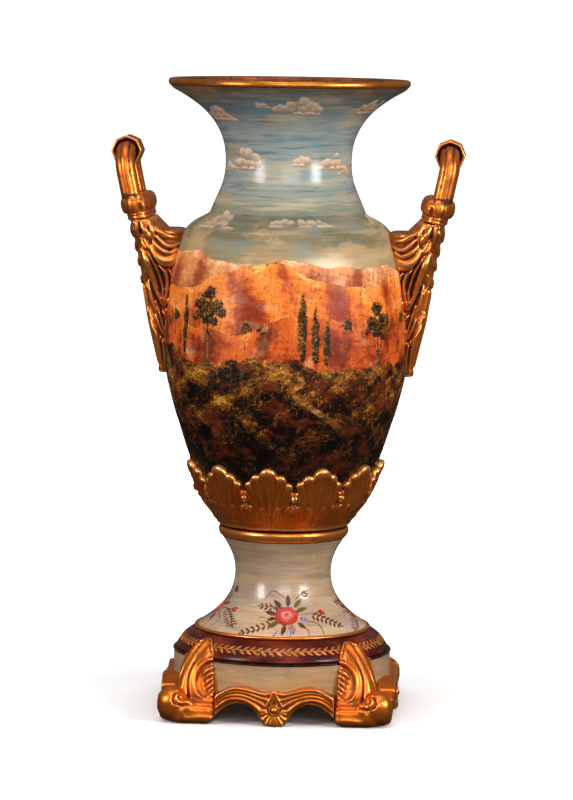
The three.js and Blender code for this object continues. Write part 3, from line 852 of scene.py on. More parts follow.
def steel():
    m = Mat("steel_finish")
    n = m.noise(m.P, 90, 5)
    s = m.noise(m.stretch(600, 600, 60), 1.0, 4)
    m.set("Base Color", m.ramp(n, [(0.3, (0.20, 0.20, 0.21, 1)), (0.7, (0.42, 0.42, 0.43, 1))]))
    m.set("Metallic", 0.95)
    m.set("Roughness", m.add(m.mul(s, 0.25), 0.22))
    m.bump(s, 0.1, 0.0003)
    return m.m


def felt():
    m = Mat("felt_finish")
    n = m.noise(m.P, 900, 6, 0.7)
    n2 = m.noise(m.P, 60, 4)
    m.set("Base Color", m.ramp(m.add(m.mul(n, 0.6), m.mul(n2, 0.4)), [(0.3, lin(24, 20, 18)), (0.7, lin(62, 52, 44))]))
    m.set("Roughness", m.add(m.mul(n, 0.2), 0.78))
    m.set("Sheen Weight", 0.3)
    m.bump(n, 0.6, 0.0008)
    return m.m


GILT = gilt("gilt_leaf")
GILT_DARK = gilt("gilt_leaf_dark", -0.14)
INTERIOR = interior()
CREAM_STEM = cream("cream_glaze_stem", (180, 154, 124), (160, 138, 132), (166, 142, 82), (126, 92, 62), 2.0)
CREAM_DRUM = cream("cream_paint_drum", (176, 144, 106), (156, 132, 120), (164, 128, 74), (132, 92, 56), 9.0, 0.24)
STEEL, FELT = steel(), felt()

# ---------------------------------------------------------------- turned shells
NECK_OUT = [
    (123, 790), (121.6, 793.6), (119.4, 799.6), (111.3, 818.5), (103.7, 837.5), (100.1, 856.5),
    (99.7, 875), (101.5, 894), (107.3, 913), (116.5, 930), (129.5, 946.3), (146, 960.5),
    (167.3, 974.7), (184, 984.1), (188.6, 989.3),
]
NECK_IN = [
    (177, 989.3), (164, 981), (142, 967), (124.5, 952), (110.5, 935), (101, 917), (94.8, 896),
    (92.8, 876), (93.2, 857), (97, 838), (105, 817), (116.2, 790),
]
BODY_OUT = [
    (94, 292.6), (104, 302), (117.5, 322), (128.5, 345), (142, 377), (151.9, 404.2), (155.5, 414),
    (158.7, 423.6), (161.8, 433.1), (164.8, 442.8), (167.8, 452.3), (170.9, 461.9), (174.3, 471.6),
    (177, 481), (179.6, 490.6), (182, 500), (184.3, 509.6), (186.7, 519.2), (188.7, 528.6),
    (190.3, 545), (191.4, 562), (191.7, 582), (191.3, 602), (190.2, 622), (188.8, 648), (186.8, 672),
    (184, 696), (180, 718), (176, 732), (171, 744), (164.5, 758), (156, 768.5), (146, 776.5),
    (137, 781.5), (130, 784.8), (126, 787.2), (123, 790),
]
BODY_IN = [
    (116.2, 789.8), (118, 784), (151, 762), (164, 737), (172.5, 712), (179, 668), (182.6, 618),
    (183.6, 580), (182, 542), (175.5, 503), (163, 458), (148, 413), (134, 378), (120.5, 346),
    (109, 324), (98, 309), (88, 305), (40, 304.8), (8, 304.8), (8, 292.6),
]
STEM_OUT = [
    (134.8, 128.4), (134.6, 133.2), (131, 137.3), (122, 143), (108, 154.1), (99.5, 162.2),
    (92.5, 170.2), (84, 184), (79, 198.5), (76.5, 214), (76.7, 226), (79, 238.5), (83.6, 251),
    (90, 263), (97.3, 274.6),
]
STEM_IN = [
    (8, 274.6), (8, 264.6), (82, 264.6), (76, 251), (71, 238), (68.5, 222), (69, 208), (72, 192),
    (78, 177), (88, 163), (101, 149), (114, 139), (122, 128.4),
]
DOME_OUT = [
    (8, 96.2), (120, 96.2), (168.2, 96.2), (168.8, 98.0), (167.6, 101.2), (164.0, 107), (158.4, 114.4), (150.8, 121.4),
    (144.8, 125.5), (140.8, 127.6), (138.6, 128.1), (8, 128.1),
]


def poly(points, step):
    """Points along straight segments, keeping the corners."""
    out = [points[0]]
    for a, b in zip(points, points[1:]):
        n = max(1, int(round(math.dist(a, b) / step)))
        out += [tuple(np.array(a) + (np.array(b) - np.array(a)) * k / n) for k in range(1, n + 1)]
    return np.array(out, float)


def radius_at(profile, z):
    p = np.asarray(profile, float)
    return np.interp(z, p[:, 1], p[:, 0])


def angle_of(co):
    return np.arctan2(co[:, 0], -co[:, 1])


def wrap(a):
    return (a + math.pi) % (2 * math.pi) - math.pi


def waves(th, terms):
    return sum(a * np.sin(k * th + p) for k, a, p in terms)


BODY_CURVE = catmull(BODY_OUT, 2.7, 5.0)
NECK_CURVE = catmull(NECK_OUT, 2.0, 4.0)
STEM_CURVE = np.vstack([[(134.8, 128.4)], catmull(STEM_OUT[1:], 1.6, 4.0)])


def cloud_masks(th, z, groups):
    """Signed puff depth in cm and its lit side, for groups of round puffs."""
    best = np.full(len(th), -3.0)
    light = np.zeros(len(th))
    for at, height, radius, puffs in groups:
        for du, dz, r, squash in puffs:
            u = wrap(th - math.radians(at)) * radius - du
            v = (z - height - dz) / squash
            d = r - np.hypot(u, v)
            sel = d > best * 10
            best = np.where(sel, d / 10.0, best)
            light = np.where(sel, np.clip(v / r, -1, 1), light)
    return np.stack([np.clip(best, -3, 3), light, np.zeros(len(th))], 1)


def puff_row(rng, width, height, count, big):
    """A low bank of overlapping puffs, highest in the middle."""
    out = []
    for k in range(count):
        f = (k + 0.5) / count * 2 - 1 + rng.uniform(-0.12, 0.12)
        r = big * (0.6 + 0.4 * (1 - f * f)) * rng.uniform(0.75, 1.2)
        out.append((f * width / 2, -0.5 * height + r * 0.5, r, 0.7))
        if rng.uniform() < 0.8:
            out.append((f * width / 2.6 + rng.uniform(-4, 4), rng.uniform(0.0, 0.6) * height * (1 - f * f), r * rng.uniform(0.7, 1.05), rng.uniform(0.85, 1.05)))
    for k in range(4):
        f = rng.uniform(-1.0, 1.0)
        out.append((f * width * 0.66, -height * 0.6, big * 1.3, 0.24))
    return out


def sky_groups():
    rng = np.random.default_rng(12)
    groups = []
    # (azimuth, height, radius there, width, rise, puffs, size)
    for at, z, rad, w, h, n, s in [
        (10, 958, 150, 74, 13, 6, 8.6), (-13, 960, 150, 12, 3, 2, 4.6), (-56, 948, 140, 60, 16, 5, 9), (66, 958, 150, 64, 12, 5, 9),
        (128, 962, 155, 76, 13, 6, 9), (-150, 958, 152, 70, 12, 6, 9), (-104, 950, 146, 56, 14, 5, 9),
        (-38, 875, 100, 46, 20, 5, 9), (16, 872, 100, 14, 6, 2, 7.6), (46, 877, 100, 34, 20, 4, 8.6), (100, 880, 100, 44, 16, 4, 9),
        (168, 874, 100, 46, 17, 5, 9), (-112, 878, 100, 44, 16, 4, 9),
        (64, 858, 100, 22, 6, 3, 5.5), (-64, 862, 100, 22, 6, 3, 6),
        (10, 781, 138, 84, 8, 7, 7), (-46, 778, 140, 48, 12, 5, 8), (84, 778, 140, 66, 9, 6, 8),
        (160, 780, 138, 76, 8, 6, 8), (-126, 778, 140, 70, 9, 5, 9),
    ]:
        groups.append((at, z, rad, puff_row(rng, w * 1.12, h * 1.15, n + 1, s * 1.3)))
    return groups


SKY_GROUPS = sky_groups()


def make_neck():
    ob = lathe("neck_shell", NECK_CURVE, catmull(NECK_IN, 5.0, 6.0), 320, [neck_glaze(), INTERIOR])
    co = coords(ob)
    put_vector(ob, "cl", cloud_masks(angle_of(co), co[:, 2], SKY_GROUPS))
    settle(ob, "sky_glaze", "neck")


def foliage_line(th):
    """Height of the shrubs' upper edge round the body."""
    return 566 + waves(th, [(2, 20, 3.6), (3, 13, 0.4), (5, 8, 2.2), (8, 4, 1.1)])


def soft_noise(th, z, seed, count, k_range, l_range):
    """Smooth noise round the body, about -1 to 1."""
    rng = np.random.default_rng(seed)
    out = np.zeros(len(th))
    for _ in range(count):
        k = rng.integers(k_range[0], k_range[1] + 1)
        l = rng.uniform(*l_range) * rng.choice([-1, 1])
        out += np.cos(k * th + l * z + rng.uniform(0, 6.283))
    return out / math.sqrt(count)


def clumps():
    """Round trees and shrubs of the painted landscape: (azimuth, z, radius) and trunks."""
    rng = np.random.default_rng(11)
    trees, trunks, shrubs = [], [], []

    def tree(at, foot, top, w, n, rad=186.0):
        h = w * 0.60
        c = top - h * 0.8
        pads = [(0, 0.62, 0.40), (-0.42, 0.20, 0.42), (0.44, 0.26, 0.40), (0.05, 0.05, 0.46), (-0.74, -0.22, 0.30), (0.78, -0.16, 0.30), (-0.18, -0.42, 0.34), (0.30, -0.46, 0.28)]
        if n < 10:
            pads = pads[:4]
        for px, pz, size in pads:
            px, pz = px + rng.uniform(-0.08, 0.08), pz + rng.uniform(-0.08, 0.08)
            for _ in range(6 if n < 10 else 9):
                a, k = rng.uniform(0, 2 * math.pi), rng.uniform(0, 1) ** 0.5
                r = w * size * (rng.uniform(0.42, 0.60) if n < 10 else rng.uniform(0.22, 0.36))
                trees.append((
                    at + math.degrees((px * w * 0.5 + k * size * w * 0.42 * math.cos(a)) / rad),
                    c + pz * h + k * size * w * 0.26 * math.sin(a), r,
                ))
        lean = rng.uniform(-6, 6)
        pts = [(at + math.degrees(lean * t * t / rad), foot + (c - foot) * t) for t in np.linspace(0, 1, 8)]
        for (a0, z0), (a1, z1), t in zip(pts, pts[1:], np.linspace(0, 1, 7)):
            trunks.append((a0, z0, a1, z1, 3.0 * (1 - 0.55 * t) * w / 60))
        for sgn in (-1, 1):
            trunks.append((pts[5][0], pts[4][1], at + sgn * math.degrees(w * 0.30 / rad), c + h * 0.1, 1.5 * w / 60))

    def cypress(at, foot, top, w, rad=186.0):
        n = 20
        for k in range(n):
            t = k / (n - 1)
            r = w * 0.5 * math.sin(math.pi * (0.10 + 0.82 * (1 - t))) ** 0.7
            trees.append((at + math.degrees(rng.uniform(-1, 1) / rad), foot + (top - foot) * t, max(2.2, r)))

    for at, foot, top, w, n in [
        (-36, 520, 676, 62, 15), (52, 505, 652, 58, 14), (104, 515, 672, 66, 15), (150, 510, 660, 54, 13),
        (-150, 520, 682, 64, 15), (-104, 500, 650, 56, 13),
    ]:
        tree(at, foot, top, w, n)
    for at, foot, top, w, n in [
        (-16, 588, 628, 22, 7), (-8, 592, 624, 18, 6), (33, 596, 634, 22, 7), (74, 598, 640, 24, 7),
        (-62, 600, 640, 24, 7), (-72, 596, 626, 18, 6), (128, 592, 630, 22, 7), (-126, 600, 638, 22, 7),
        (174, 596, 634, 22, 7), (86, 590, 616, 16, 6),
    ]:
        tree(at, foot, top, w, n)
    for at, foot, top, w in [
        (11, 566, 672, 17), (17, 560, 650, 15), (22.5, 562, 634, 13), (82, 570, 676, 17), (88, 566, 652, 14),
        (-52, 572, 664, 15), (-120, 566, 660, 16), (-114, 562, 642, 14), (166, 570, 668, 16), (135, 566, 646, 14),
        (-86, 570, 650, 15), (-91, 566, 632, 13),
    ]:
        cypress(at, foot, top, w)

    z = 640.0
    while z > 330:
        f = (640 - z) / 310
        gap = 20 + 16 * f
        n = int(1180 / gap)
        for k in range(n):
            a = (k + rng.uniform(-0.4, 0.4)) * 360 / n
            crest = foliage_line(math.radians(a))
            zc = z + rng.uniform(-7, 7)
            r = gap * rng.uniform(0.55, 0.98)
            if zc + r * 0.5 < crest:
                shrubs.append((a, zc, r))
        z -= gap * 0.55
    return trees, trunks, shrubs


def depth_of(th, z, rad, discs, order=True):
    """Depth in cm inside the topmost disc and the light on it; later discs lie in front."""
    depth = np.full(len(th), -2.0)
    light = np.zeros(len(th))
    for at, zc, r in discs:
        du = wrap(th - math.radians(at)) * rad
        dz = z - zc
        near = np.flatnonzero((np.abs(du) < r + 18) & (np.abs(dz) < r + 18))
        if not len(near):
            continue
        d = (r - np.hypot(du[near], dz[near])) / 10.0
        lit = np.clip((-0.55 * du[near] + 0.85 * dz[near]) / r, -1.1, 1.1)
        if order:
            inside = d > 0
            light[near] = np.where(inside, lit, light[near])
            depth[near] = np.maximum(depth[near], d)
        else:
            more = d > depth[near]
            light[near] = np.where(more, lit, light[near])
            depth[near] = np.maximum(depth[near], d)
    return depth, light


def make_body():
    ob = lathe("body_shell", BODY_CURVE, catmull(BODY_IN[:-3], 15.0, 4.0).tolist() + [list(p) for p in BODY_IN[-3:]],
               384, [body_glaze(), INTERIOR])
    co = coords(ob)
    th, z = angle_of(co), co[:, 2]
    rad = 186.0
    put_vector(ob, "cl", cloud_masks(th, z, SKY_GROUPS))
    far = 722 + waves(th, [(2, 14, 3.4), (3, 9, 0.2), (7, 4.0, 1.0), (13, 2.4, 0.4), (23, 1.2, 1.4)])
    mid = 694 + waves(th, [(2, 12, 1.0), (3, 14, 2.6), (5, 7, 2.0), (11, 2.8, 1.7), (19, 1.4, 0.7)])
    near = 634 + waves(th, [(2, 15, 5.2), (4, 13, 1.1), (7, 5, 0.2), (12, 2, 2.2), (19, 1.2, 0.3)])
    put_vector(ob, "hills", np.clip(np.stack([far - z, mid - z, near - z], 1) / 10, -3, 16))
    folds = []
    for k, (crest, n, skew, seed) in enumerate([(far, 17, 0.030, 21), (mid, 13, -0.024, 22), (near, 11, 0.028, 23)]):
        d = np.maximum(crest - z, 0)
        bend = soft_noise(th, z, seed, 14, (1, 9), (0.004, 0.03))
        ph = n * th + skew * d * 1.2 + 0.9 * bend
        ridge = 1 - 2 * np.abs(((ph / math.pi) % 2) - 1) ** 0.8
        folds.append(np.clip(0.75 * ridge + 0.45 * soft_noise(th, z, seed + 9, 16, (2, 16), (0.01, 0.06)) - 0.003 * d, -1, 1))
    put_vector(ob, "fold", np.stack(folds, 1))
    tone = 0.40 + 0.27 * soft_noise(th, z, 31, 22, (3, 16), (0.03, 0.13)) + 0.15 * soft_noise(th, z, 32, 16, (14, 34), (0.06, 0.22))
    path = np.full(len(th), -3.0)
    for bends in ([(-6, 590, 1.0), (-1, 580, 1.3), (-7, 568, 1.8), (2, 554, 2.3), (12, 540, 2.9), (7, 522, 3.6), (16, 498, 4.4), (30, 470, 5.6), (40, 440, 7.0)],
                  [(196, 586, 1.1), (204, 572, 1.6), (196, 556, 2.2), (210, 534, 3.0), (202, 506, 4.2), (216, 470, 6.0), (208, 440, 7.5)]):
        pts = catmull([(math.radians(a) * 186.0, zz, w) for a, zz, w in bends], 5.0)
        mid_u = pts[:, 0].mean()
        uu = wrap(th - mid_u / 186.0) * 186.0 + mid_u
        q = np.stack([uu, z], 1)
        zone = np.flatnonzero((np.abs(uu - mid_u) < 110) & (z > 415) & (z < 606))
        for p0, p1 in zip(pts, pts[1:]):
            dd, _ = seg_distance(q[zone], p0[:2], p1[:2])
            path[zone] = np.maximum(path[zone], (p0[2] - dd) / 10)
    glow = np.exp(-((wrap(th - math.radians(24)) * 186 / 46) ** 2) - (((z - 712) / 22) ** 2))
    glow = glow + np.exp(-((wrap(th - math.radians(200)) * 186 / 52) ** 2) - (((z - 716) / 24) ** 2))
    put_vector(ob, "mass", np.stack([tone, path, glow], 1))
    trees, trunks, shrubs = clumps()
    crown, lit = depth_of(th, z, rad, trees, False)
    trunk = np.full(len(th), -2.0)
    for a0, z0, a1, z1, r in trunks:
        mid_a = math.radians((a0 + a1) / 2)
        q = np.stack([wrap(th - mid_a) * rad, z], 1)
        h = math.radians(a1 - a0) / 2 * rad
        zone = np.flatnonzero((np.abs(q[:, 0]) < abs(h) + 22) & (z > min(z0, z1) - 22) & (z < max(z0, z1) + 22))
        if len(zone):
            d, _ = seg_distance(q[zone], np.array([-h, z0]), np.array([h, z1]))
            trunk[zone] = np.maximum(trunk[zone], (r - d) / 10)
    put_vector(ob, "wood", np.stack([crown, lit, trunk], 1))
    bush, blit = depth_of(th, z, rad, shrubs, True)
    meadow = 604 + waves(th, [(3, 9, 0.9), (5, 6, 2.9), (9, 3, 1.2)])
    put_vector(ob, "shrub", np.stack([bush, blit, np.clip((meadow - z) / 10, -3, 10)], 1))
    settle(ob, "landscape_glaze", "body")


def make_stem():
    ob = lathe("stem_shell", STEM_CURVE, poly(STEM_IN, 6.0), 300, [CREAM_STEM, INTERIOR])
    settle(ob, "cream_glaze", "foot_stem")


def make_rings():
    lip = [
        (178.2, 989.6), (188.8, 989.6), (190.3, 991.2), (190.8, 993.4), (190.4, 997), (188.7, 999.2),
        (186, 1000), (181.5, 1000), (178.6, 998.8), (177.6, 996), (178.0, 992),
    ]
    loop = catmull(lip + lip[:1], 1.1, 0.6)[:-1]
    ob = lathe("lip_bead", loop, loop[:0].reshape(0, 2), 300, [GILT_DARK], sharp=60)
    co = coords(ob)
    rr = np.hypot(co[:, 0], co[:, 1])
    th = angle_of(co)
    # Lip: darker overall, its outer bulge lightened as rubbed wear and a painted highlight.
    worn = smoothstep(188.4, 190.6, rr) * smoothstep(991.5, 994, co[:, 2]) * (0.5 + 0.5 * waves(th, [(3, 0.5, 0.4), (7, 0.4, 1.9), (17, 0.3, 3.0)]))
    put_float(ob, "recess_and_shade", np.clip(0.30 - 0.75 * worn, -0.6, 1))
    settle(ob, "gilt", "lip_ring")

    knop = [(97.9, 274.9), (99.4, 276.0), (102.0, 279.6), (103.5, 283.8), (103.7, 287.4), (102.4, 290.6), (100.4, 292.3)]
    out = np.vstack([[(8, 274.9)], catmull(knop, 1.2, 1.0), [(8, 292.3)]])
    ob = lathe("knop_torus", out, out[:0], 300, [GILT], sharp=60)
    co = coords(ob)
    rr = np.hypot(co[:, 0], co[:, 1])
    # Painted shadow: darker at the top and bottom edges where the knop meets the calyx and the stem, and on its hidden
    # inner faces.
    edge = smoothstep(289.5, 292, co[:, 2]) + smoothstep(277.5, 275, co[:, 2])
    put_float(ob, "recess_and_shade", np.clip(0.9 * edge - 0.35 + (rr < 90) * 1.0, -1, 1))
    settle(ob, "gilt", "knop_ring")

    fil = [(135.2, 128.5), (138.6, 128.5), (140.2, 130.4), (140.0, 132.2), (138.4, 133.6), (136, 134.2), (135.2, 133)]
    loop = catmull(fil + fil[:1], 0.9, 0.5)[:-1]
    ob = lathe("hem_bead", loop, loop[:0], 300, [GILT], sharp=60)
    put_float(ob, "recess_and_shade", np.full(len(ob.data.vertices), -0.25))
    settle(ob, "gilt", "foot_fillet")


def make_plinth():
    prof = np.vstack([poly(DOME_OUT[:3], 20.0)[:-1], catmull(DOME_OUT[2:11], 1.3, 1.2), [(8, 128.1)]])
    ob = lathe("dome_moulding", prof, prof[:0], 300, [burgundy()], sharp=50)
    settle(ob, "burgundy_lacquer", "dome_ring")

    out = np.vstack([
        [(5.8, 56), (18, 56), (18, 44)], poly([(18, 44), (171, 44)], 20.0)[1:],
        catmull([(171, 44), (172.6, 45.4), (172.6, 48)], 0.8)[1:], poly([(172.6, 48), (172.3, 92.6)], 3.0)[1:],
    ])
    top = np.vstack([
        [(172.4, 92.9)], catmull([(173.2, 93.1), (173.8, 93.9), (173.5, 94.9), (172.2, 95.6), (170.4, 95.9)], 0.5),
        poly([(170.4, 95.9), (5.8, 95.9)], 25.0)[1:],
    ])
    prof = np.vstack([out, top])
    ob = lathe("plinth_drum_turned", prof, prof[:0], 300, [CREAM_DRUM, dark_edge()], sharp=45)
    me = ob.data
    idx = np.zeros(len(me.polygons), np.int32)
    c = np.empty(len(me.polygons) * 3, np.float32)
    me.polygons.foreach_get("center", c)
    c = c.reshape(-1, 3) / MM
    idx[(c[:, 2] > 92.7) & (np.hypot(c[:, 0], c[:, 1]) > 60)] = 1
    me.polygons.foreach_set("material_index", idx)
    settle(ob, "cream_paint", "plinth_drum")

# ---------------------------------------------------------------- carved and cast pieces
def relief(q, curves):
    """Ridges over hollows at chart points."""
    up = ridge_field(q, [c for c in curves if c[0][3] >= 0])
    down = ridge_field(q, [c for c in curves if c[0][3] < 0], power=0.8)
    return up + down


def chart(origin, scale, depth):
    """Turns (x, y, radius, height) in an enlarged crop into (x, z, radius, height) in mm."""

    def one(curve):
        out = []
        for x, y, r, h in curve:
            a, b = unproject(origin[0] + x / scale, origin[1] + y / scale, depth)
            out.append((a, b, r, h))
        return out

    return one


def face_box(ob):
    co = coords(ob)
    return co.min(0), co.max(0)


# ---- leaf calyx ----
LEAF_COUNT = 11
LEAF_IN = 12  # rows on the hidden side of a leaf, in the body's wall
LEAF_PHASE = -96.5 + 90.0  # azimuth of one leaf's middle, from the front


def calyx_body(z):
    return radius_at(BODY_CURVE, z)


def make_calyx():
    pitch = 2 * math.pi * 142.0 / LEAF_COUNT
    per = 96
    u = (np.arange(per) / per - 0.5) * pitch
    rows = 68
    t = np.linspace(0, 1, rows) ** 0.85
    rng = np.random.default_rng(14)

    def make_fingers(jit):
        """Lobes of one leaf: from, to, width at each end, height, drawn from the sides to the middle."""
        out = []
        for s in (-1, 1):
            for x0, x1, z1, w0, w1, hh in [
                (22, 41.5, 345, 6.0, 5.6, 3.6), (16, 37.0, 356.5, 7.0, 7.2, 4.4), (11, 29.0, 369.0, 8.0, 8.8, 5.0),
                (6, 17.5, 379.5, 9.0, 10.0, 5.4),
            ]:
                out.append(((s * x0, 318), (s * (x1 + jit.uniform(-1.2, 1.2)), z1 + jit.uniform(-1.8, 1.8)), w0, w1 + jit.uniform(-0.5, 0.5), hh))
        out.append(((0, 318), (jit.uniform(-1.2, 1.2), 387.0), 12.0, 13.6, 7.0))
        return out

    leaves = [make_fingers(rng) for _ in range(LEAF_COUNT)]

    def field(U, V, k):
        """(inside depth, ridge height) round leaf k and its neighbours; the middle lobe lies on top."""
        q = np.stack([U.ravel(), V.ravel()], 1)
        depth = 362.5 - q[:, 1]
        height = np.zeros(len(q))
        for shift, kk in ((-pitch, k - 1), (pitch, k + 1), (0, k)):
            for a, b, w0, w1, hh in leaves[kk % LEAF_COUNT]:
                a2, b2 = np.array([a[0] + shift, a[1]], float), np.array([b[0] + shift, b[1]], float)
                d, tt = seg_distance(q, a2, b2)
                w = w0 + (w1 - w0) * tt**1.5
                depth = np.maximum(depth, w - d)
                x = np.clip(1 - (d / w) ** 2, 0, 1)
                lobe = (0.30 + 0.70 * x**0.6) * hh * 1.35 * (0.14 + 0.86 * tt**2.0)
                height = np.where(x > 0, np.maximum(height * (1 - smoothstep(0, 0.30, x) * smoothstep(0.42, 0.80, tt)), lobe), height)
        return depth.reshape(U.shape), height.reshape(U.shape)

    ring = []
    fine = np.linspace(340, 405, 200)
    for k in range(LEAF_COUNT):
        U, V = np.meshgrid(u, fine, indexing="ij")
        depth, _ = field(U, V, k)
        inside = depth > 0
        top = np.array([fine[np.flatnonzero(r)[-1]] if r.any() else 362.5 for r in inside])
        V = 293.2 + (top[:, None] - 293.2) * t[None, :]
        U = np.repeat(u[:, None], rows, 1)
        depth, height = field(U, V, k)
        edge = np.clip(depth / 2.2, 0, 1)
        body = np.sqrt(np.clip(1 - (1 - edge) ** 2, 0, 1))
        thick = 4.4 - 1.6 * smoothstep(335, 380, V)
        small = []
        for shift in (-pitch, 0, pitch):
            for s in (-1, 1):
                small += [
                    [(shift + s * 40.8, 348, 4.6, 7.0), (shift + s * 40.8, 350, 4.6, 7.0)],
                    [(shift + s * 40.8, 338, 4.0, 4.6), (shift + s * 40.8, 330, 2.4, 2.0)],
                    [(shift + s * 5.5, 312, 1.4, 0.4), (shift + s * 6.2, 326, 2.0, 1.8), (shift + s * 12, 334.5, 2.6, 2.8),
                     (shift + s * 18, 327, 2.0, 1.8), (shift + s * 18.6, 314, 1.4, 0.4)],
                    [(shift + s * 12, 327, 4.2, 1.6), (shift + s * 12, 314, 2.6, 0.4)],
                    [(shift + s * 26, 318, 1.4, 0.4), (shift + s * 27, 330, 1.8, 1.6), (shift + s * 32, 336, 2.4, 2.2),
                     (shift + s * 37, 330, 1.8, 1.6), (shift + s * 37.6, 318, 1.4, 0.4)],
                    [(shift + s * 4, 309, 2.0, 2.0), (shift + s * 4.2, 305, 1.7, 1.6)],
                ]
            small.append([(shift, 322, 1.6, -1.0), (shift, 304, 1.2, -0.6)])
            small.append([(shift, 326, 2.6, 1.0), (shift, 350, 3.6, 1.8), (shift, 366, 2.6, 1.0)])
            small += [[(shift + s * 7, 328, 2.2, 0.8), (shift + s * 13.5, 348, 3.2, 1.5), (shift + s * 17, 362, 2.4, 0.8)] for s in (-1, 1)]
            small += [[(shift + s * 14, 328, 2.0, 0.7), (shift + s * 25, 342, 2.8, 1.3), (shift + s * 30, 352, 2.2, 0.7)] for s in (-1, 1)]
        q = np.stack([U.ravel(), V.ravel()], 1)
        curls = ridge_field(q, [c for c in small if c[0][3] > 0]).reshape(U.shape)
        curls += ridge_field(q, [c for c in small if c[0][3] < 0], 0.8).reshape(U.shape)
        swell = 2.6 * np.exp(-((U / 17.0) ** 2)) * smoothstep(312, 345, V) * (1 - smoothstep(362, 392, V))
        h = body * (thick + height * smoothstep(306, 334, V) + curls + swell)
        base_band = 4.4 + 2.6 * np.exp(-(((V - 296.5) / 3.6) ** 2))
        low = 1 - smoothstep(297, 308, V)
        h = h * (1 - low) + base_band * low
        h = np.maximum(h, 0.3)
        R = calyx_body(V) + h
        R[:, 0] = calyx_body(293.2) + 3.0
        c = math.radians(LEAF_PHASE) + 2 * math.pi * k / LEAF_COUNT + u / pitch * 2 * math.pi / LEAF_COUNT
        grid = np.stack([R * np.sin(c)[:, None], -R * np.cos(c)[:, None], V], -1)
        inn = []
        for k_in in range(LEAF_IN):
            z_in = top if k_in == 0 else top - 4 + (293.2 - top + 4) * (k_in - 1) / (LEAF_IN - 2)
            r = calyx_body(z_in) - (1.2 if k_in == 0 else 3.6)
            inn.append(np.stack([r * np.sin(c), -r * np.cos(c), z_in], -1))
        ring.append(np.concatenate([grid, np.stack(inn, 1)], 1))
    pts = np.concatenate(ring, 0)
    ob = grid_mesh("calyx_leaves", pts, [GILT], wrap_u=True, wrap_v=True)
    e = edges_of(ob)
    co = coords(ob)
    outer = (np.arange(len(co)) % (rows + LEAF_IN)) < rows
    sm = blur(co, e, len(co), 1)
    co[outer] = sm[outer]
    set_coords(ob, co)
    add_cavity(ob, 1.5, 10)
    settle(ob, "gilt", "leaf_calyx")


# ---- corner brackets ----
BASE_CROP = ((150, 625), 8.0)
BASE_CHART = ((150, 630), 6.0)


def round_box(centre, half, r, n=40):
    """Points and faces of a box with rounded edges, as a stretched sphere."""
    lat = np.linspace(-math.pi / 2, math.pi / 2, n)
    lon = np.linspace(0, 2 * math.pi, 2 * n, endpoint=False)
    core = np.maximum(np.array(half, float) - r, 0.01)
    d = np.stack([
        np.cos(lat)[None, :] * np.cos(lon)[:, None], np.cos(lat)[None, :] * np.sin(lon)[:, None],
        np.sin(lat)[None, :] * np.ones((len(lon), 1)),
    ], -1)
    p = np.array(centre, float) + core * np.tanh(d * 9) + r * d
    nu, nv = p.shape[:2]
    i, j = np.meshgrid(np.arange(nu), np.arange(nv - 1), indexing="ij")
    i2 = (i + 1) % nu
    f = np.stack([i * nv + j, i2 * nv + j, i2 * nv + j + 1, i * nv + j + 1], -1).reshape(-1, 4)
    return p.reshape(-1, 3), f.tolist()


def console_block():
    """The bracket's upright leaf, as closed rings in plan at rising heights."""
    rows = np.array([
        # z, inner edge x, front face y, corner x = y
        (18, 95, 160, 154), (30, 95, 162, 155), (44, 96, 158.5, 153.5), (60, 97, 153, 150), (72, 97.5, 150, 146),
        (84, 98, 147, 140.5), (95, 98.5, 143, 133.5), (104, 99, 138, 127), (111, 99.5, 132, 121.5), (117, 100.5, 126, 116.5),
        (122, 102, 120, 111.5), (125, 104, 115, 108.5),
    ], float)
    c = catmull(rows, 1.6, 2.0)
    t = np.linspace(0, 1, 22)
    loops = []
    for z, xi, yf, k in c:
        a = xi + (k - xi) * t
        b = yf + (k - yf) * t + 2.6 * np.sin(math.pi * t)
        inner = [(yf - 24, xi - 3), (xi + 4, xi + 4), (xi - 3, yf - 24)] if z < 112 else [(yf - 8, xi), (xi + 3, xi + 3), (xi, yf - 8)]
        ring = [(p, q) for p, q in zip(a, b)] + [(q, p) for p, q in list(zip(a, b))[::-1][1:]] + inner
        loops.append([(-p, -q, z) for p, q in ring])
    g = np.array(loops)
    nv, nu = g.shape[:2]
    v = g.reshape(-1, 3)
    f = []
    for j in range(nv - 1):
        for i in range(nu):
            i2 = (i + 1) % nu
            f.append((j * nu + i, j * nu + i2, (j + 1) * nu + i2, (j + 1) * nu + i))
    f.append(tuple(range(nu))[::-1])
    f.append(tuple((nv - 1) * nu + i for i in range(nu)))
    return v, f


DOME_R = catmull(DOME_OUT[3:11], 1.0, 1.2)


def clear_of_plinth(co, gap=0.3):
    """Moves points that fall inside the drum or dome out to just clear of them."""
    r = np.hypot(co[:, 0], co[:, 1])
    z = co[:, 2]
    core = np.where(z < 91, 172.7, np.where(z < 96.3, 174.0, np.interp(z, DOME_R[:, 1], DOME_R[:, 0])))
    core = np.where(z < 43, 150.0, core) + gap
    k = np.where(r < core, core / np.maximum(r, 1e-6), 1.0)
    co = co.copy()
    co[:, 0] *= k
    co[:, 1] *= k
    return co


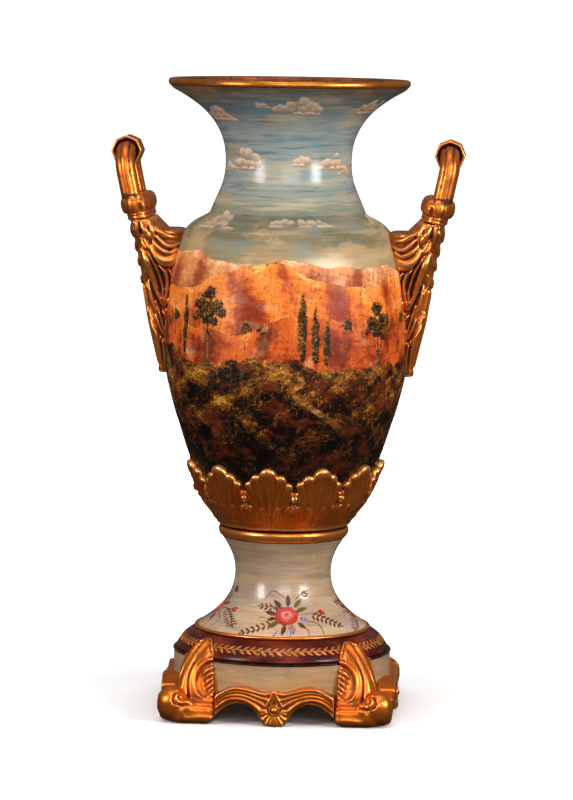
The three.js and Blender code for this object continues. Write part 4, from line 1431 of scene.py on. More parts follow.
def make_brackets():
    c_face = chart(*BASE_CHART, -156.0)
    c_foot = chart(*BASE_CHART, -184.0)
    face = [
        # the spine and the broad band beside it, from the tip to the scroll
        [(326, 70, 4, 3.4), (290, 100, 6, 4.4), (252, 146, 7.0, 4.8), (220, 208, 7.2, 4.8), (204, 276, 7.2, 4.6), (200, 345, 7, 4.4), (204, 400, 6, 4.0)],
        [(362, 100, 4.2, 3.4), (334, 146, 6.4, 4.6), (298, 190, 7.4, 4.8), (266, 244, 7.6, 4.8), (250, 306, 7.6, 4.8),
         (254, 356, 7.2, 4.6), (272, 402, 6.4, 4.0), (306, 430, 5.6, 3)],
        # the curl at the tip
        [(346, 64, 3.2, 3.6), (368, 72, 3.6, 4.4), (384, 96, 3.6, 4.6), (378, 124, 3.2, 4.2), (358, 128, 2.4, 3.2)],
        [(388, 130, 2.6, 3), (386, 160, 3, 3.4), (372, 180, 2.8, 3)],
        # raised rim of the hollow
        [(388, 184, 2.6, 6), (346, 191, 2.6, 6.4), (307, 216, 2.6, 6.6), (279, 254, 2.6, 6.6), (267, 300, 2.6, 6.6),
         (270, 346, 2.5, 6.4), (290, 388, 2.4, 6), (326, 411, 2.4, 5.4), (390, 418, 2.2, 4.6)],
        # ribs at the inner edge
        [(390, 232, 2.6, 4.8), (362, 235, 2.8, 4.8), (336, 247, 2.5, 4.2), (316, 268, 1.8, 2.4)],
        [(390, 262, 2.4, 4.8), (364, 266, 2.6, 4.8), (340, 279, 2.4, 4.2), (322, 300, 1.6, 2.2)],
        [(390, 291, 2.3, 4.6), (367, 296, 2.5, 4.6), (346, 309, 2.2, 4), (330, 328, 1.5, 2.2)],
        [(390, 319, 2.2, 4.4), (371, 324, 2.4, 4.4), (352, 337, 2.1, 3.8), (340, 354, 1.4, 2)],
        [(390, 346, 2.1, 4.2), (374, 351, 2.2, 4.2), (359, 362, 1.9, 3.6), (349, 377, 1.3, 2)],
        [(372, 388, 3.2, 4.4), (373, 389, 3.2, 4.4)],
        [(348, 396, 2.2, 3.4), (349, 397, 2.2, 3.4)],
        # hollows
        [(345, 222, 7, -2.4), (310, 262, 9, -3.4), (300, 312, 9.5, -3.6), (306, 356, 9, -3.4), (335, 392, 6, -2.4)],
        [(340, 96, 1.4, -1.8), (300, 146, 1.7, -2.8), (262, 202, 1.8, -3.0), (234, 262, 1.8, -3.0), (226, 330, 1.8, -3.0), (232, 396, 1.7, -2.8), (246, 440, 1.5, -2)],
        [(346, 98, 1.7, -2.6), (352, 116, 2.2, -3.6), (360, 142, 1.4, -2)],
    ]
    foot = [
        [(160, 452, 3.4, 1.6), (204, 432, 4.2, 2.6), (260, 420, 4.6, 3.2), (320, 424, 4.6, 3.2), (362, 434, 4.2, 3.0), (396, 446, 3.8, 2.6)],
        [(216, 458, 2.0, -1.8), (270, 446, 2.2, -2.4), (330, 450, 2.2, -2.4), (392, 468, 2.0, -2.0)],
        [(226, 500, 8, -1.4), (300, 486, 10, -1.8), (380, 500, 8, -1.4)],
        # incised turn of the scroll
        [(212, 452, 1.8, -3.2), (176, 452, 2.0, -4.0), (147, 440, 2.1, -4.2), (136, 414, 2.1, -4.2), (144, 387, 2.1, -4.2),
         (168, 371, 2.0, -4.2), (191, 380, 2.0, -4.0), (196, 400, 1.9, -3.8), (184, 412, 1.7, -3.4), (173, 404, 1.4, -2.4)],
        [(208, 436, 2.2, 2.4), (178, 436, 2.4, 2.6), (160, 424, 2.4, 2.6), (155, 406, 2.3, 2.6), (164, 392, 2.2, 2.6), (176, 391, 2, 2.2)],
    ]
    curves = [c_face(c) for c in face]
    foot_curves = [c_foot(c) for c in foot]

    parts = [console_block()]
    parts.append(round_box((-161, -161, 29), (24, 24, 26.5), 23.4, 52))
    for swap in (False, True):
        for at, half, r in [
            ((-127, -167.2, 15.5), (33.5, 15.4, 13.6), 8.5), ((-118, -160, 24), (24, 16, 8.5), 7), ((-148, -164, 24), (22, 17, 13), 10),
        ]:
            if swap:
                at, half = (at[1], at[0], at[2]), (half[1], half[0], half[2])
            parts.append(round_box(at, half, r))
    verts, faces, n = [], [], 0
    for v, f in parts:
        verts.append(v)
        faces += [tuple(i + n for i in q) for q in f]
        n += len(v)
    ob = make_mesh("bracket_front_left", np.concatenate(verts), faces, [GILT])
    remesh(ob, 1.3, 14)
    co, nrm = coords(ob), normals(ob)
    ax, ay, z = np.abs(co[:, 0]), np.abs(co[:, 1]), co[:, 2]
    f = np.maximum(ax, ay)
    q = np.stack([-np.minimum(ax, ay), z], 1)
    side = smoothstep(0.2, 0.65, np.hypot(nrm[:, 0], nrm[:, 1]))
    flat = np.stack([co[:, 0], co[:, 1]], 1)
    out = smoothstep(-0.05, 0.35, (nrm[:, :2] * flat).sum(1) / np.maximum(np.linalg.norm(flat, axis=1), 1))
    lowzone = smoothstep(166, 173, f) * (1 - smoothstep(60, 66, z))
    h = (relief(q, curves) - 2.2) * (1 - lowzone) * smoothstep(34, 44, z) + (relief(q, foot_curves) - 0.6) * lowzone
    h = h * (0.4 + 0.6 * smoothstep(0, 8, np.abs(ax - ay)))
    # curved ribs on the ends that face the next bracket
    to_end = smoothstep(0.5, 0.85, np.where(ax > ay, nrm[:, 1], nrm[:, 0]))
    ring = np.hypot(f - 176, z - 34)
    rib = 2.4 * np.abs(np.sin(math.pi * ring / 11.0)) ** 0.7 - 2.2
    rib *= to_end * smoothstep(30, 38, z) * (1 - smoothstep(104, 114, z)) * smoothstep(136, 142, f)
    co = co + nrm * (h * side * out + rib)[:, None]
    co[:, 0] = np.clip(co[:, 0], -186.6, None)
    co[:, 1] = np.clip(co[:, 1], -186.6, None)
    co[:, 2] = np.maximum(co[:, 2], 2.0)
    set_coords(ob, co)
    remesh(ob, 1.05, 1)
    set_coords(ob, clear_of_plinth(coords(ob)))
    add_cavity(ob, 1.3, 8)
    made = [("bracket_front_left", "corner_bracket_front_left", ob)]
    for name, node, deg in [
        ("bracket_front_right", "corner_bracket_front_right", 90),
        ("bracket_back_right", "corner_bracket_back_right", 180),
        ("bracket_back_left", "corner_bracket_back_left", 270),
    ]:
        made.append((name, node, turned_copy(ob, name, deg)))
    for _, node, o in made:
        settle(o, "gilt", node)


# ---- aprons ----
def make_aprons():
    c_front = chart(*BASE_CROP, -184.0)
    left = [
        [(528, 590, 2.6, 3.6), (560, 556, 2.8, 4), (620, 524, 3, 4.4), (685, 512, 3, 4.4), (760, 518, 3, 4.4),
         (850, 541, 3, 4.2), (930, 560, 2.8, 4), (985, 548, 2.2, 3.4)],
        [(530, 612, 2.4, 3.2), (566, 578, 2.6, 3.8), (622, 548, 2.8, 4.2), (686, 537, 2.8, 4.2), (760, 544, 2.8, 4.2),
         (846, 570, 2.8, 4), (920, 596, 2.6, 3.6), (966, 604, 2, 3)],
        [(534, 634, 2.4, 3.2), (572, 602, 2.6, 3.8), (624, 574, 2.8, 4.2), (686, 563, 2.8, 4.2), (758, 571, 2.8, 4.2),
         (836, 600, 2.8, 4), (896, 632, 2.6, 3.6), (936, 660, 2, 3)],
        [(540, 660, 2.6, 3.4), (580, 628, 3, 4.2), (628, 602, 3.2, 4.6), (686, 592, 3.2, 4.6), (752, 600, 3.2, 4.6),
         (820, 632, 3.2, 4.4), (868, 672, 3, 4), (900, 706, 2.4, 3)],
        # flame rising to the top of the shell
        [(996, 536, 2.2, 4), (984, 570, 2.6, 4.6), (962, 606, 2.6, 4.4), (944, 640, 2.4, 3.8), (934, 664, 2, 3)],
        [(998, 560, 2, 3), (990, 600, 2.4, 3.6), (976, 636, 2, 3)],
        # fan
        [(958, 700, 1.9, 3.0), (902, 716, 3.0, 4.2)],
        [(962, 716, 1.9, 3.0), (912, 756, 3.2, 4.4)],
        [(974, 730, 1.9, 3.0), (938, 792, 3.4, 4.4)],
        [(988, 738, 1.9, 3.0), (970, 808, 3.4, 4.4)],
        [(930, 690, 2.4, 3.4), (884, 692, 3.0, 4.0)],
    ]
    curves = [c_front(c) for c in left]
    cx = unproject(150 + 1000 / 8.0, 625 + 685 / 8.0, -184.0)
    cz = cx[1]
    for c in curves:
        for k, (x, z, r, h) in enumerate(c):
            c[k] = (x - cx[0], z, r, h)
    both = curves + [[(-x, z, r, h) for x, z, r, h in c] for c in curves]
    both.append([(0, cz - 9, 1.9, 3.0), (0, cz - 23, 3.4, 4.4)])
    ring = [(6.9 * math.cos(a), cz + 6.9 * math.sin(a), 1.5, 4.6) for a in np.linspace(0, 2 * math.pi, 17)]
    both.append(ring)
    both.append([(0, cz, 4.6, 4.4), (0.1, cz, 4.6, 4.4)])
    ob = copy_node("apron_front", "apron_front_carved", [GILT])
    remesh(ob, 1.0, 7)
    co, nrm = coords(ob), normals(ob)
    q = co[:, [0, 2]]
    front = smoothstep(0.05, 0.55, -nrm[:, 1])
    h = 0.72 * relief(q, both) - 1.8
    h += 1.6 * np.exp(-(((np.hypot(q[:, 0], q[:, 1] - cz)) / 14) ** 2))
    shell = np.exp(-(((q[:, 0]) / 17) ** 2)) * smoothstep(24, 8, q[:, 1])
    h += 2.2 * shell
    co = co + nrm * (h * front)[:, None]
    co[:, 2] = np.maximum(co[:, 2], 2.0)
    set_coords(ob, co)
    remesh(ob, 0.95, 1)
    add_cavity(ob, 1.2, 8)
    made = [("apron_front", ob)]
    for name, deg in [("apron_right", 90), ("apron_back", 180), ("apron_left", 270)]:
        made.append((name, turned_copy(ob, name + "_carved", deg)))
    for node, o in made:
        settle(o, "gilt", node)


# ---- handles, made on the -X side and turned for the other ----
LEAN = math.radians(12.5)
LX, LZ = math.sin(LEAN), math.cos(LEAN)
COLLAR_TOP = (243.8, 814.8)
HAND_CROP = ((100, 125), 6.0)


def on_handle(s, v):
    return (COLLAR_TOP[0] + s * LX + v * LZ, COLLAR_TOP[1] + s * LZ - v * LX)


def rings(sections, rows, cols, power=2.5):
    """Superellipse rings between outer and inner edge points with half depth b, as a (cols, rows, 3) grid."""
    s = np.array([[o[0], o[1], i[0], i[1], b] for o, i, b in sections], float)
    c = catmull(s, 1.0)
    at = np.linspace(0, len(c) - 1, rows)
    c = np.stack([np.interp(at, np.arange(len(c)), c[:, k]) for k in range(5)], 1)
    a = np.linspace(0, 2 * math.pi, 721)
    ca = np.sign(np.cos(a)) * np.abs(np.cos(a)) ** (2 / power)
    sa = np.sign(np.sin(a)) * np.abs(np.sin(a)) ** (2 / power)
    grid = np.empty((cols, rows, 3))
    for k, (ox, oz, ix, iz, b) in enumerate(c):
        ring = np.stack([(ox + ix) / 2 + (ox - ix) / 2 * ca, b * sa, (oz + iz) / 2 + (oz - iz) / 2 * ca], 1)
        s_len = np.concatenate([[0], np.cumsum(np.linalg.norm(np.diff(ring, axis=0), axis=1))])
        want = np.linspace(0, s_len[-1], cols, endpoint=False)
        for j in range(3):
            grid[:, k, j] = np.interp(want, s_len, ring[:, j])
    grid[:, :, 0] *= -1  # to the -X side
    return grid


def trim_to_wall(ob, depth=3.5):
    """Cuts off what lies deeper than this in the body's wall."""
    part = BODY_CURVE[(BODY_CURVE[:, 1] > 480) & (BODY_CURVE[:, 1] < 783)] - (depth, 0)
    core = lathe("trim_core", part, [(20, part[-1, 1]), (20, part[0, 1])], 256, [GILT])
    m = ob.modifiers.new("trim", "BOOLEAN")
    m.operation = "DIFFERENCE"
    m.solver = "MANIFOLD"
    m.object = core
    apply_modifiers(ob)
    bpy.data.objects.remove(core, do_unlink=True)


def push_folds(ob, curves, keep, scale=1.0):
    """Moves the front and back faces out by the relief, mirrored in y."""
    co, nrm = coords(ob), normals(ob)
    q = co[:, [0, 2]]
    w = smoothstep(0.10, 0.55, np.abs(nrm[:, 1]))
    h = (relief(q, curves) - keep) * scale
    co = co + nrm * (h * w)[:, None]
    set_coords(ob, co)


def make_drapes():
    up = chart((118, 200), 12.0, -50.0)
    low = chart((128, 280), 11.0, -42.0)
    folds = [up(c) for c in [
        [(140, 292, 4, 3.4), (150, 360, 5, 4.4), (168, 424, 4, 3)],
        [(205, 285, 4.6, 4.6), (215, 350, 5.4, 5.8), (226, 420, 5, 4.6), (244, 480, 3.5, 3)],
        [(280, 272, 4.2, 4.4), (310, 340, 6, 6.6), (352, 410, 6.4, 7), (396, 462, 4, 4)],
        [(392, 236, 4.2, 3.6), (410, 330, 5, 5), (418, 400, 4.6, 4.8), (412, 465, 3.6, 4)],
        [(440, 270, 4.2, 4), (475, 340, 5, 5.6), (540, 395, 5, 5.6), (620, 432, 4, 4.6), (700, 440, 3, 3.4)],
        [(455, 200, 5, 3), (520, 270, 6, 4), (600, 350, 6, 4), (700, 372, 5, 3)],
        [(470, 440, 4, 4.4), (530, 500, 4.6, 5.2), (600, 545, 4.2, 5.2), (680, 545, 3.6, 4.6), (738, 520, 3, 3.4)],
        [(420, 500, 4, 4.6), (480, 560, 4.6, 5.6), (560, 612, 4.8, 5.6), (640, 632, 4.4, 5), (712, 592, 4, 4.4)],
        [(398, 556, 5, 5), (440, 640, 7, 7), (500, 700, 8.5, 8.6), (570, 732, 9.4, 9), (640, 726, 9, 8.4), (702, 670, 7, 6.4)],
        [(262, 470, 3, 3), (290, 530, 3.4, 4), (330, 575, 3, 3)],
        [(310, 470, 3, 3.4), (345, 530, 3.6, 4.4), (392, 600, 3.4, 4)],
        [(262, 600, 4, 4.4), (310, 680, 5.5, 6.6), (355, 800, 6.5, 7.6), (400, 930, 6.5, 7.6), (440, 1060, 6, 7)],
        [(372, 648, 2.6, 4.4), (440, 780, 3, 5.6), (480, 880, 3, 5.6), (512, 1000, 3, 5.6), (530, 1080, 3, 5.6)],
        [(505, 800, 3, 4.4), (560, 872, 4.2, 6.6), (580, 960, 4.4, 7), (576, 1080, 4.2, 6.6)],
        [(622, 856, 3, 4.4), (640, 950, 3, 4.8), (632, 1080, 3, 4.6)],
    ]] + [low(c) for c in [
        [(290, 88, 5.8, 7), (320, 160, 5, 6.4), (355, 228, 4, 5.4), (380, 276, 3, 3.6)],
        [(376, 100, 3, 5.6), (375, 200, 3, 5.4), (381, 262, 2.5, 3.6)],
        [(418, 90, 4, 6.6), (412, 170, 3.8, 6), (397, 240, 3.2, 5), (388, 278, 2.4, 3)],
        [(470, 80, 3, 4.6), (455, 180, 2.8, 4.4), (425, 250, 2.6, 3.8), (393, 286, 2, 2.6)],
        [(196, 10, 2.6, 4), (228, 100, 3.4, 5.6), (250, 200, 3.9, 6.2), (276, 290, 3.6, 5.6), (310, 348, 2.4, 3.6)],
        [(298, 236, 1.8, 3), (325, 320, 2.2, 4.4), (345, 400, 2.4, 5), (375, 520, 2.6, 5), (398, 620, 2.4, 4.4), (404, 668, 2, 3)],
        [(368, 348, 2.6, 4), (395, 375, 3, 5.2), (414, 408, 2.6, 4)],
        [(182, 338, 3, 2.6), (235, 422, 3.7, 5.6), (272, 520, 4.1, 6.2), (300, 610, 4.1, 6.2), (322, 710, 3.9, 5.6),
         (336, 800, 3.5, 5), (342, 880, 3.3, 4.4), (344, 960, 3, 3)],
        [(288, 392, 2.4, 3.6), (320, 470, 2.9, 4.8), (350, 560, 2.9, 4.8), (374, 614, 2.3, 3.6)],
        [(344, 634, 2, 4), (348, 662, 2, 3.4)],
        [(362, 690, 2.8, 3.8), (376, 780, 3.4, 4.6), (386, 880, 3.8, 4.8), (388, 980, 3.4, 3)],
        [(412, 420, 2.6, 3), (408, 540, 2.8, 3.4), (410, 640, 2.6, 3)],
    ]]
    cuts = [up(c) for c in [
        [(325, 300, 2.2, -3), (331, 326, 2.0, -2.4)],
        [(262, 400, 1.7, -2.4), (330, 447, 1.9, -3), (398, 478, 1.7, -2.6)],
        [(286, 576, 1.8, -2.6), (370, 622, 2.0, -4), (420, 700, 2.1, -4.6), (462, 768, 2.1, -4.8), (540, 798, 2.1, -4.8),
         (600, 830, 2.0, -4.4), (656, 838, 1.8, -3.4)],
        [(200, 600, 4.5, -1.6), (240, 740, 5.5, -2.2), (290, 920, 5.5, -2.4), (326, 1060, 4.6, -2)],
    ]] + [low(c) for c in [
        [(240, 24, 2.0, -3.6), (272, 120, 2.4, -4.8), (306, 215, 2.5, -5), (336, 300, 2.3, -4.8), (352, 352, 1.9, -3.6)],
        [(350, 306, 3, -3), (400, 312, 3, -3), (434, 300, 2.5, -2.6)],
        [(212, 392, 2.0, -3.4), (265, 480, 2.3, -4.4), (322, 572, 2.3, -4.6), (372, 642, 2.1, -3.6)],
        [(348, 700, 1.6, -2), (358, 800, 1.7, -2.2), (364, 900, 1.6, -1.8)],
    ]]
    curves = folds + cuts
    top = on_handle(-38.4, 17), on_handle(-38.4, -27)
    hump = unproject(166.0, 222.5, 0.0)
    sections = [
        (top[0], top[1], 60), ((250.6, 768), (-hump[0], hump[1] - 3), 61), ((250.6, 761), (-hump[0] - 8, hump[1] - 9), 60),
        ((249, 753), (164, 762), 59), ((245.2, 742.7), (152, 749), 58.5), ((241.5, 727), (150, 727), 58),
        ((238.7, 713), (150, 711), 56), ((236.2, 700), (150, 699), 50), ((233.6, 685.4), (150, 685), 45),
        ((226.9, 647.6), (150, 647), 39), ((221.8, 618.7), (150, 618), 35), ((215.1, 590), (150, 590), 31),
        ((210.2, 569), (150, 569), 27), ((205.5, 548), (150, 548), 24), ((203.6, 539), (150, 539), 22),
        ((201.8, 534.4), (150, 534.4), 18), ((198, 532.6), (150, 532.6), 13),
    ]
    grid = rings(sections, 250, 330)
    ob = grid_mesh("drape_left", grid, [GILT], wrap_u=True, cap_v=True, sharp=60)
    push_folds(ob, curves, 3.6, 1.0)
    outer = [
        [(-57, 760, 4, 3), (-44, 728, 5, 4.6), (-22, 710, 5, 5), (0, 705, 5, 5.2), (22, 710, 5, 5), (44, 728, 5, 4.6), (57, 760, 4, 3)],
        [(-44, 764, 3.5, 3), (-32, 742, 4.4, 4.2), (-14, 730, 4.6, 4.4), (2, 727, 4.6, 4.6), (18, 731, 4.6, 4.4), (34, 744, 4.4, 4.2), (46, 764, 3.5, 3)],
        [(-57, 736, 4, 3), (-44, 702, 5.4, 5), (-22, 684, 6, 5.8), (0, 678, 6, 6), (22, 685, 6, 5.8), (44, 703, 5.4, 5), (57, 737, 4, 3)],
        [(-26, 766, 3, 2.6), (-12, 752, 3.6, 3.4), (4, 748, 3.6, 3.4), (24, 766, 3, 2.6)],
        [(1, 664, 4.4, 3.4), (3, 630, 5, 4.8), (0, 590, 4.4, 4.6), (1, 550, 3, 3.4)],
        [(-15, 668, 3.6, 3.4), (-14, 630, 4.2, 4.6), (-10, 585, 3.8, 4.2), (-8, 548, 2.6, 3)],
        [(17, 668, 3.6, 3.4), (16, 632, 4.2, 4.6), (12, 588, 3.8, 4.2), (9, 550, 2.6, 3)],
        [(-33, 676, 4, 3.4), (-30, 632, 4.6, 4.8), (-21, 582, 4, 4.4), (-16, 552, 2.6, 3)],
        [(35, 678, 4, 3.4), (30, 630, 4.6, 4.8), (23, 586, 4, 4.4), (17, 554, 2.6, 3)],
        [(-8, 672, 1.8, -2.4), (-6, 630, 2.0, -2.8), (-5, 590, 1.8, -2.6), (-4, 548, 1.4, -1.8)],
        [(25, 676, 1.8, -2.4), (23, 632, 2.0, -2.8), (18, 588, 1.8, -2.6), (13, 552, 1.4, -1.8)],
    ]
    co, nrm = coords(ob), normals(ob)
    facing = smoothstep(0.45, 0.85, -nrm[:, 0]) * smoothstep(534, 548, co[:, 2])
    lift = 0.75 * relief(co[:, [1, 2]], outer) - 3.4
    lift = np.where(lift > -0.6, -0.6 + 0.8 * np.tanh((lift + 0.6) / 3.0), lift)
    set_coords(ob, co + nrm * (lift * facing)[:, None])
    co, e = coords(ob), edges_of(ob)
    set_coords(ob, blur(co, e, len(co), 1))
    trim_to_wall(ob)
    add_cavity(ob, 1.5, 10, -0.10)
    other = turned_copy(ob, "drape_right", 180)
    settle(ob, "gilt", "handle_drape_left")
    settle(other, "gilt", "handle_drape_right")


def make_collars():
    def at(s, half, b, centre=-4.0):
        return on_handle(s, centre + half), on_handle(s, centre - half), b

    sections = [
        at(-38.2, 17.5, 58, -5), at(-37.4, 20.0, 61, -5), at(-36.2, 21.2, 62.4, -5), at(-32, 21.6, 63.0, -5), at(-28.6, 21.2, 62.4, -5),
        at(-27.4, 20.2, 61, -4.5), at(-26.4, 20.2, 61, -4.5), at(-24, 22.4, 64), at(-20, 25.0, 67), at(-14, 26.6, 68.6),
        at(-8, 26.0, 68.0), at(-3.8, 23.4, 65.6), at(-1.2, 19.0, 62.4), at(-0.4, 15, 58),
    ]
    rows, cols = 64, 420
    grid = rings(sections, rows, cols, 2.6)
    ob = grid_mesh("collar_left", grid, [GILT], wrap_u=True, cap_v=True, sharp=70)
    ob.data.flip_normals()
    co, nrm = coords(ob), normals(ob)
    n = cols * rows
    s = ((-co[:, 0] - COLLAR_TOP[0]) * LX + (co[:, 2] - COLLAR_TOP[1]) * LZ)
    arc = np.zeros(len(co))
    per = np.linalg.norm(grid[1:, rows // 2] - grid[:-1, rows // 2], axis=1)
    arc[:n] = np.repeat(np.concatenate([[0], np.cumsum(per)]), rows)
    pleat = np.abs(np.sin(arc * math.pi / 21.0 + 0.9 * np.sin(arc * 0.045 + 1)))
    pleat2 = np.abs(np.sin(arc * math.pi / 12.5 + 1.3))
    puff = smoothstep(-27.5, -24.5, s)
    near_band = puff * (1 - smoothstep(-25, -12, s))
    near_top = smoothstep(-8, -1.5, s)
    h = puff * (3.0 * pleat**0.7 - 1.6) * (0.35 + 0.65 * np.maximum(near_band, near_top))
    h += 1.3 * near_band * pleat2
    band = 1 - puff
    h += band * (-1.1 * np.exp(-(((s + 32.5) / 3.0) ** 2)) + 0.7 * np.sin(arc * 0.12))
    c = chart(*HAND_CROP, -66.0)
    marks = [
        c([(240, 474, 3.0, -2.6), (241, 498, 3.8, -3.4), (244, 512, 2.0, -1.5)]),
        c([(250, 440, 3.2, -1.6), (248, 462, 2.4, -1.2)]),
    ]
    w = smoothstep(0.1, 0.6, np.abs(nrm[:, 1]))
    h += relief(co[:, [0, 2]], marks) * w
    set_coords(ob, co + nrm * h[:, None])
    co, e = coords(ob), edges_of(ob)
    set_coords(ob, blur(co, e, len(co), 1))
    add_cavity(ob, 1.2, 8, -0.06)
    other = turned_copy(ob, "collar_right", 180)
    settle(ob, "gilt", "handle_collar_left")
    settle(other, "gilt", "handle_collar_right")


def make_bows():
    half = [
        (243.9, -47, 812.5), (249.3, -47, 838), (253.2, -47, 857), (254.6, -44.8, 869.5), (254.8, -38.5, 878.5),
        (254.6, -29, 883.2), (254.5, -18, 884),
    ]
    pts = half + [(254.5, 0, 884)] + [(x, -y, z) for x, y, z in half[::-1]]
    path = catmull(pts, 1.5, 4.0)
    tan = np.gradient(path, axis=0)
    tan /= np.linalg.norm(tan, axis=1)[:, None]
    seg = 80
    a = np.arange(seg) * 2 * math.pi / seg
    reed = np.abs(np.sin(a * 3.5 + 0.9)) ** 0.6
    side0 = np.array([1.0, 0.0, 0.0])
    grid = np.empty((seg, len(path), 3))
    for k in range(len(path)):
        t = tan[k]
        sv = side0 - t * (side0 @ t)
        sv /= np.linalg.norm(sv)
        up = np.cross(t, sv)
        deep = 0.085 * smoothstep(24, 33, abs(path[k][1]))
        r = 15.6 * (1 - deep + deep * reed)
        grid[:, k] = path[k] + (r * np.cos(a))[:, None] * sv + (r * np.sin(a))[:, None] * up
    grid[:, :, 0] *= -1
    ob = grid_mesh("bow_left", grid[::-1], [GILT], wrap_u=True, cap_v=True, sharp=60)
    co = coords(ob)
    recess_and_shade = np.zeros(len(co))
    # Painted shade: darker towards the top, inside the grip (near) and where the bow enters the collar (foot); the reed
    # grooves darken as patina.
    recess_and_shade[: seg * len(path)] = np.repeat((0.60 - reed[::-1]) * 0.42, len(path))
    recess_and_shade = recess_and_shade + 0.08 + 0.20 * smoothstep(846, 880, co[:, 2])
    near = smoothstep(32, 25, np.abs(co[:, 1])) * 0.5
    foot = smoothstep(820, 815, co[:, 2]) * 0.8
    put_float(ob, "recess_and_shade", np.clip(recess_and_shade + near + foot, -0.7, 1))
    other = turned_copy(ob, "bow_right", 180)
    settle(ob, "gilt", "handle_bow_left")
    settle(other, "gilt", "handle_bow_right")


def make_grips():
    seg = 160
    a = np.arange(seg) * 2 * math.pi / seg
    step = math.pi / 4
    rel = (a - math.pi / 2 + step / 2) % step - step / 2
    octa = 26.0 * math.cos(step / 2) / np.cos(np.abs(rel) - step / 2)
    octa = np.where(True, 26.0 * math.cos(step / 2) / np.cos(step / 2 - np.abs(rel)), octa)
    sharp8 = octa
    soft = 24.6 + (sharp8 - 24.6) * 0.9
    rowsets = [
        # (y, octagon share, radius scale or plain radius)
        (-12, 0, 15.8), (-17, 0, 15.8), (-19.6, 0, 16.0), (-21.2, 0.2, 17.4), (-22.0, 0.5, 19.4), (-24.4, 0.9, 20.4),
        (-26.6, 1, 21.0), (-27.4, 1, 22.2), (-27.2, 1, 24.6), (-26.2, 1, 25.7), (-23.5, 1, 26.0), (-19.5, 1, 25.7), (-17.5, 1, 25.0),
        (-15.5, 1, 25.6), (-8, 1, 25.9), (0, 1, 26.0),
    ]
    rows = rowsets + [(-y, o, r) for y, o, r in rowsets[:-1][::-1]]
    ys = np.array([r[0] for r in rows], float)
    os_ = np.array([r[1] for r in rows], float)
    rr = np.array([r[2] for r in rows], float)
    rr = 15.8 + (rr - 15.8) * 0.86
    dense = catmull(np.stack([ys, rr, os_ * 6], 1), 0.7)
    grid = np.empty((seg, len(dense), 3))
    for k, (y, r, o) in enumerate(dense):
        o = min(1.0, max(0.0, o / 6))
        shape = (1 - o) * r + o * r * soft / 26.0
        grid[:, k] = np.stack([-(254.5 + shape * np.cos(a)), np.full(seg, y), 884 + shape * np.sin(a)], 1)
    ob = grid_mesh("grip_left", grid, [GILT], wrap_u=True, wrap_v=True, sharp=None)
    add_cavity(ob, 1.0, 8)
    recess_and_shade = np.empty(len(ob.data.vertices), np.float32)
    ob.data.attributes["recess_and_shade"].data.foreach_get("value", recess_and_shade)
    co = coords(ob)
    rad = np.hypot(co[:, 0] + 254.5, co[:, 2] - 884)
    # Painted shade inside the grip's hollow, where the bow runs through.
    ob.data.attributes["recess_and_shade"].data.foreach_set("value", np.clip(recess_and_shade + smoothstep(21.5, 18.5, rad) * 0.9, -1, 1).astype(np.float32))
    other = turned_copy(ob, "grip_right", 180)
    settle(ob, "gilt_dark", "handle_grip_left")
    settle(other, "gilt_dark", "handle_grip_right")

# ---------------------------------------------------------------- painted decoration
class Brushwork:
    """Collects thin raised paint patches given as (n, m) grids on a surface, each closed by an underside."""

    def __init__(self):
        self.v, self.f, self.c, self.n = [], [], [], 0

    def patch(self, pts, under, colour, close=False):
        a, b = pts.shape[:2]
        i, j = np.meshgrid(np.arange(a if close else a - 1), np.arange(b - 1), indexing="ij")
        i2 = (i + 1) % a
        f = np.stack([i * b + j, i2 * b + j, i2 * b + j + 1, i * b + j + 1], -1).reshape(-1, 4)
        q = pts.reshape(-1, 3)
        face = np.cross(q[f[:, 2]] - q[f[:, 0]], q[f[:, 3]] - q[f[:, 1]]).sum(0)
        if face @ (q[:, 0].mean(), q[:, 1].mean(), 60.0) < 0:
            f = f[:, ::-1]
        ways = {(int(r[k]), int(r[(k + 1) % 4])) for r in f for k in range(4)}
        rim = [(u, w) for u, w in sorted(ways) if (w, u) not in ways and np.abs(q[u] - q[w]).max() > 1e-6]
        m = a * b
        side = np.array([(w, u, u + m, w + m) for u, w in rim])
        self.v += [q, under.reshape(-1, 3)]
        self.f += (np.concatenate([f, f[:, ::-1] + m, side]) + self.n).tolist()
        col = np.asarray(colour, float)
        if col.ndim == 1:
            col = np.broadcast_to(col, (a, b, 3))
        self.c += [col.reshape(-1, 3)] * 2
        self.n += 2 * m

    def mesh(self, name, mat):
        ob = make_mesh(name, np.concatenate(self.v), self.f, [mat])
        put_colour(ob, "paint", np.concatenate(self.c))
        bm = bmesh.new()
        bm.from_mesh(ob.data)
        bmesh.ops.remove_doubles(bm, verts=bm.verts[:], dist=1e-7)
        bm.to_mesh(ob.data)
        bm.free()
        return ob


def rgb(r, g, b):
    return np.array(lin(r, g, b)[:3])


def leaf_shape(n=9, m=5, sharp=0.8):
    t = np.linspace(0, 1, n)
    w = np.linspace(-1, 1, m)
    half = np.sin(math.pi * np.clip(t, 0, 1) ** 0.85) ** sharp
    return t, w, half


def project(p):
    """Image point of a position in mm."""
    d = p - np.array(CAM_C)
    f = d @ np.array(CAM_F)
    return 286.5 + F_PX * (d @ np.array(CAM_R)) / f, 400 - F_PX * (d @ np.array(CAM_U)) / f


STEM_Z = STEM_CURVE[:, 1]


def stem_point(th, z, h):
    r = np.interp(z, STEM_Z, STEM_CURVE[:, 0])
    dz = 0.5
    slope = (np.interp(z + dz, STEM_Z, STEM_CURVE[:, 0]) - np.interp(z - dz, STEM_Z, STEM_CURVE[:, 0])) / (2 * dz)
    k = 1 / np.sqrt(1 + slope**2)
    r2 = r + h * k
    return np.stack([r2 * np.sin(th), -r2 * np.cos(th), z - h * k * slope], -1)


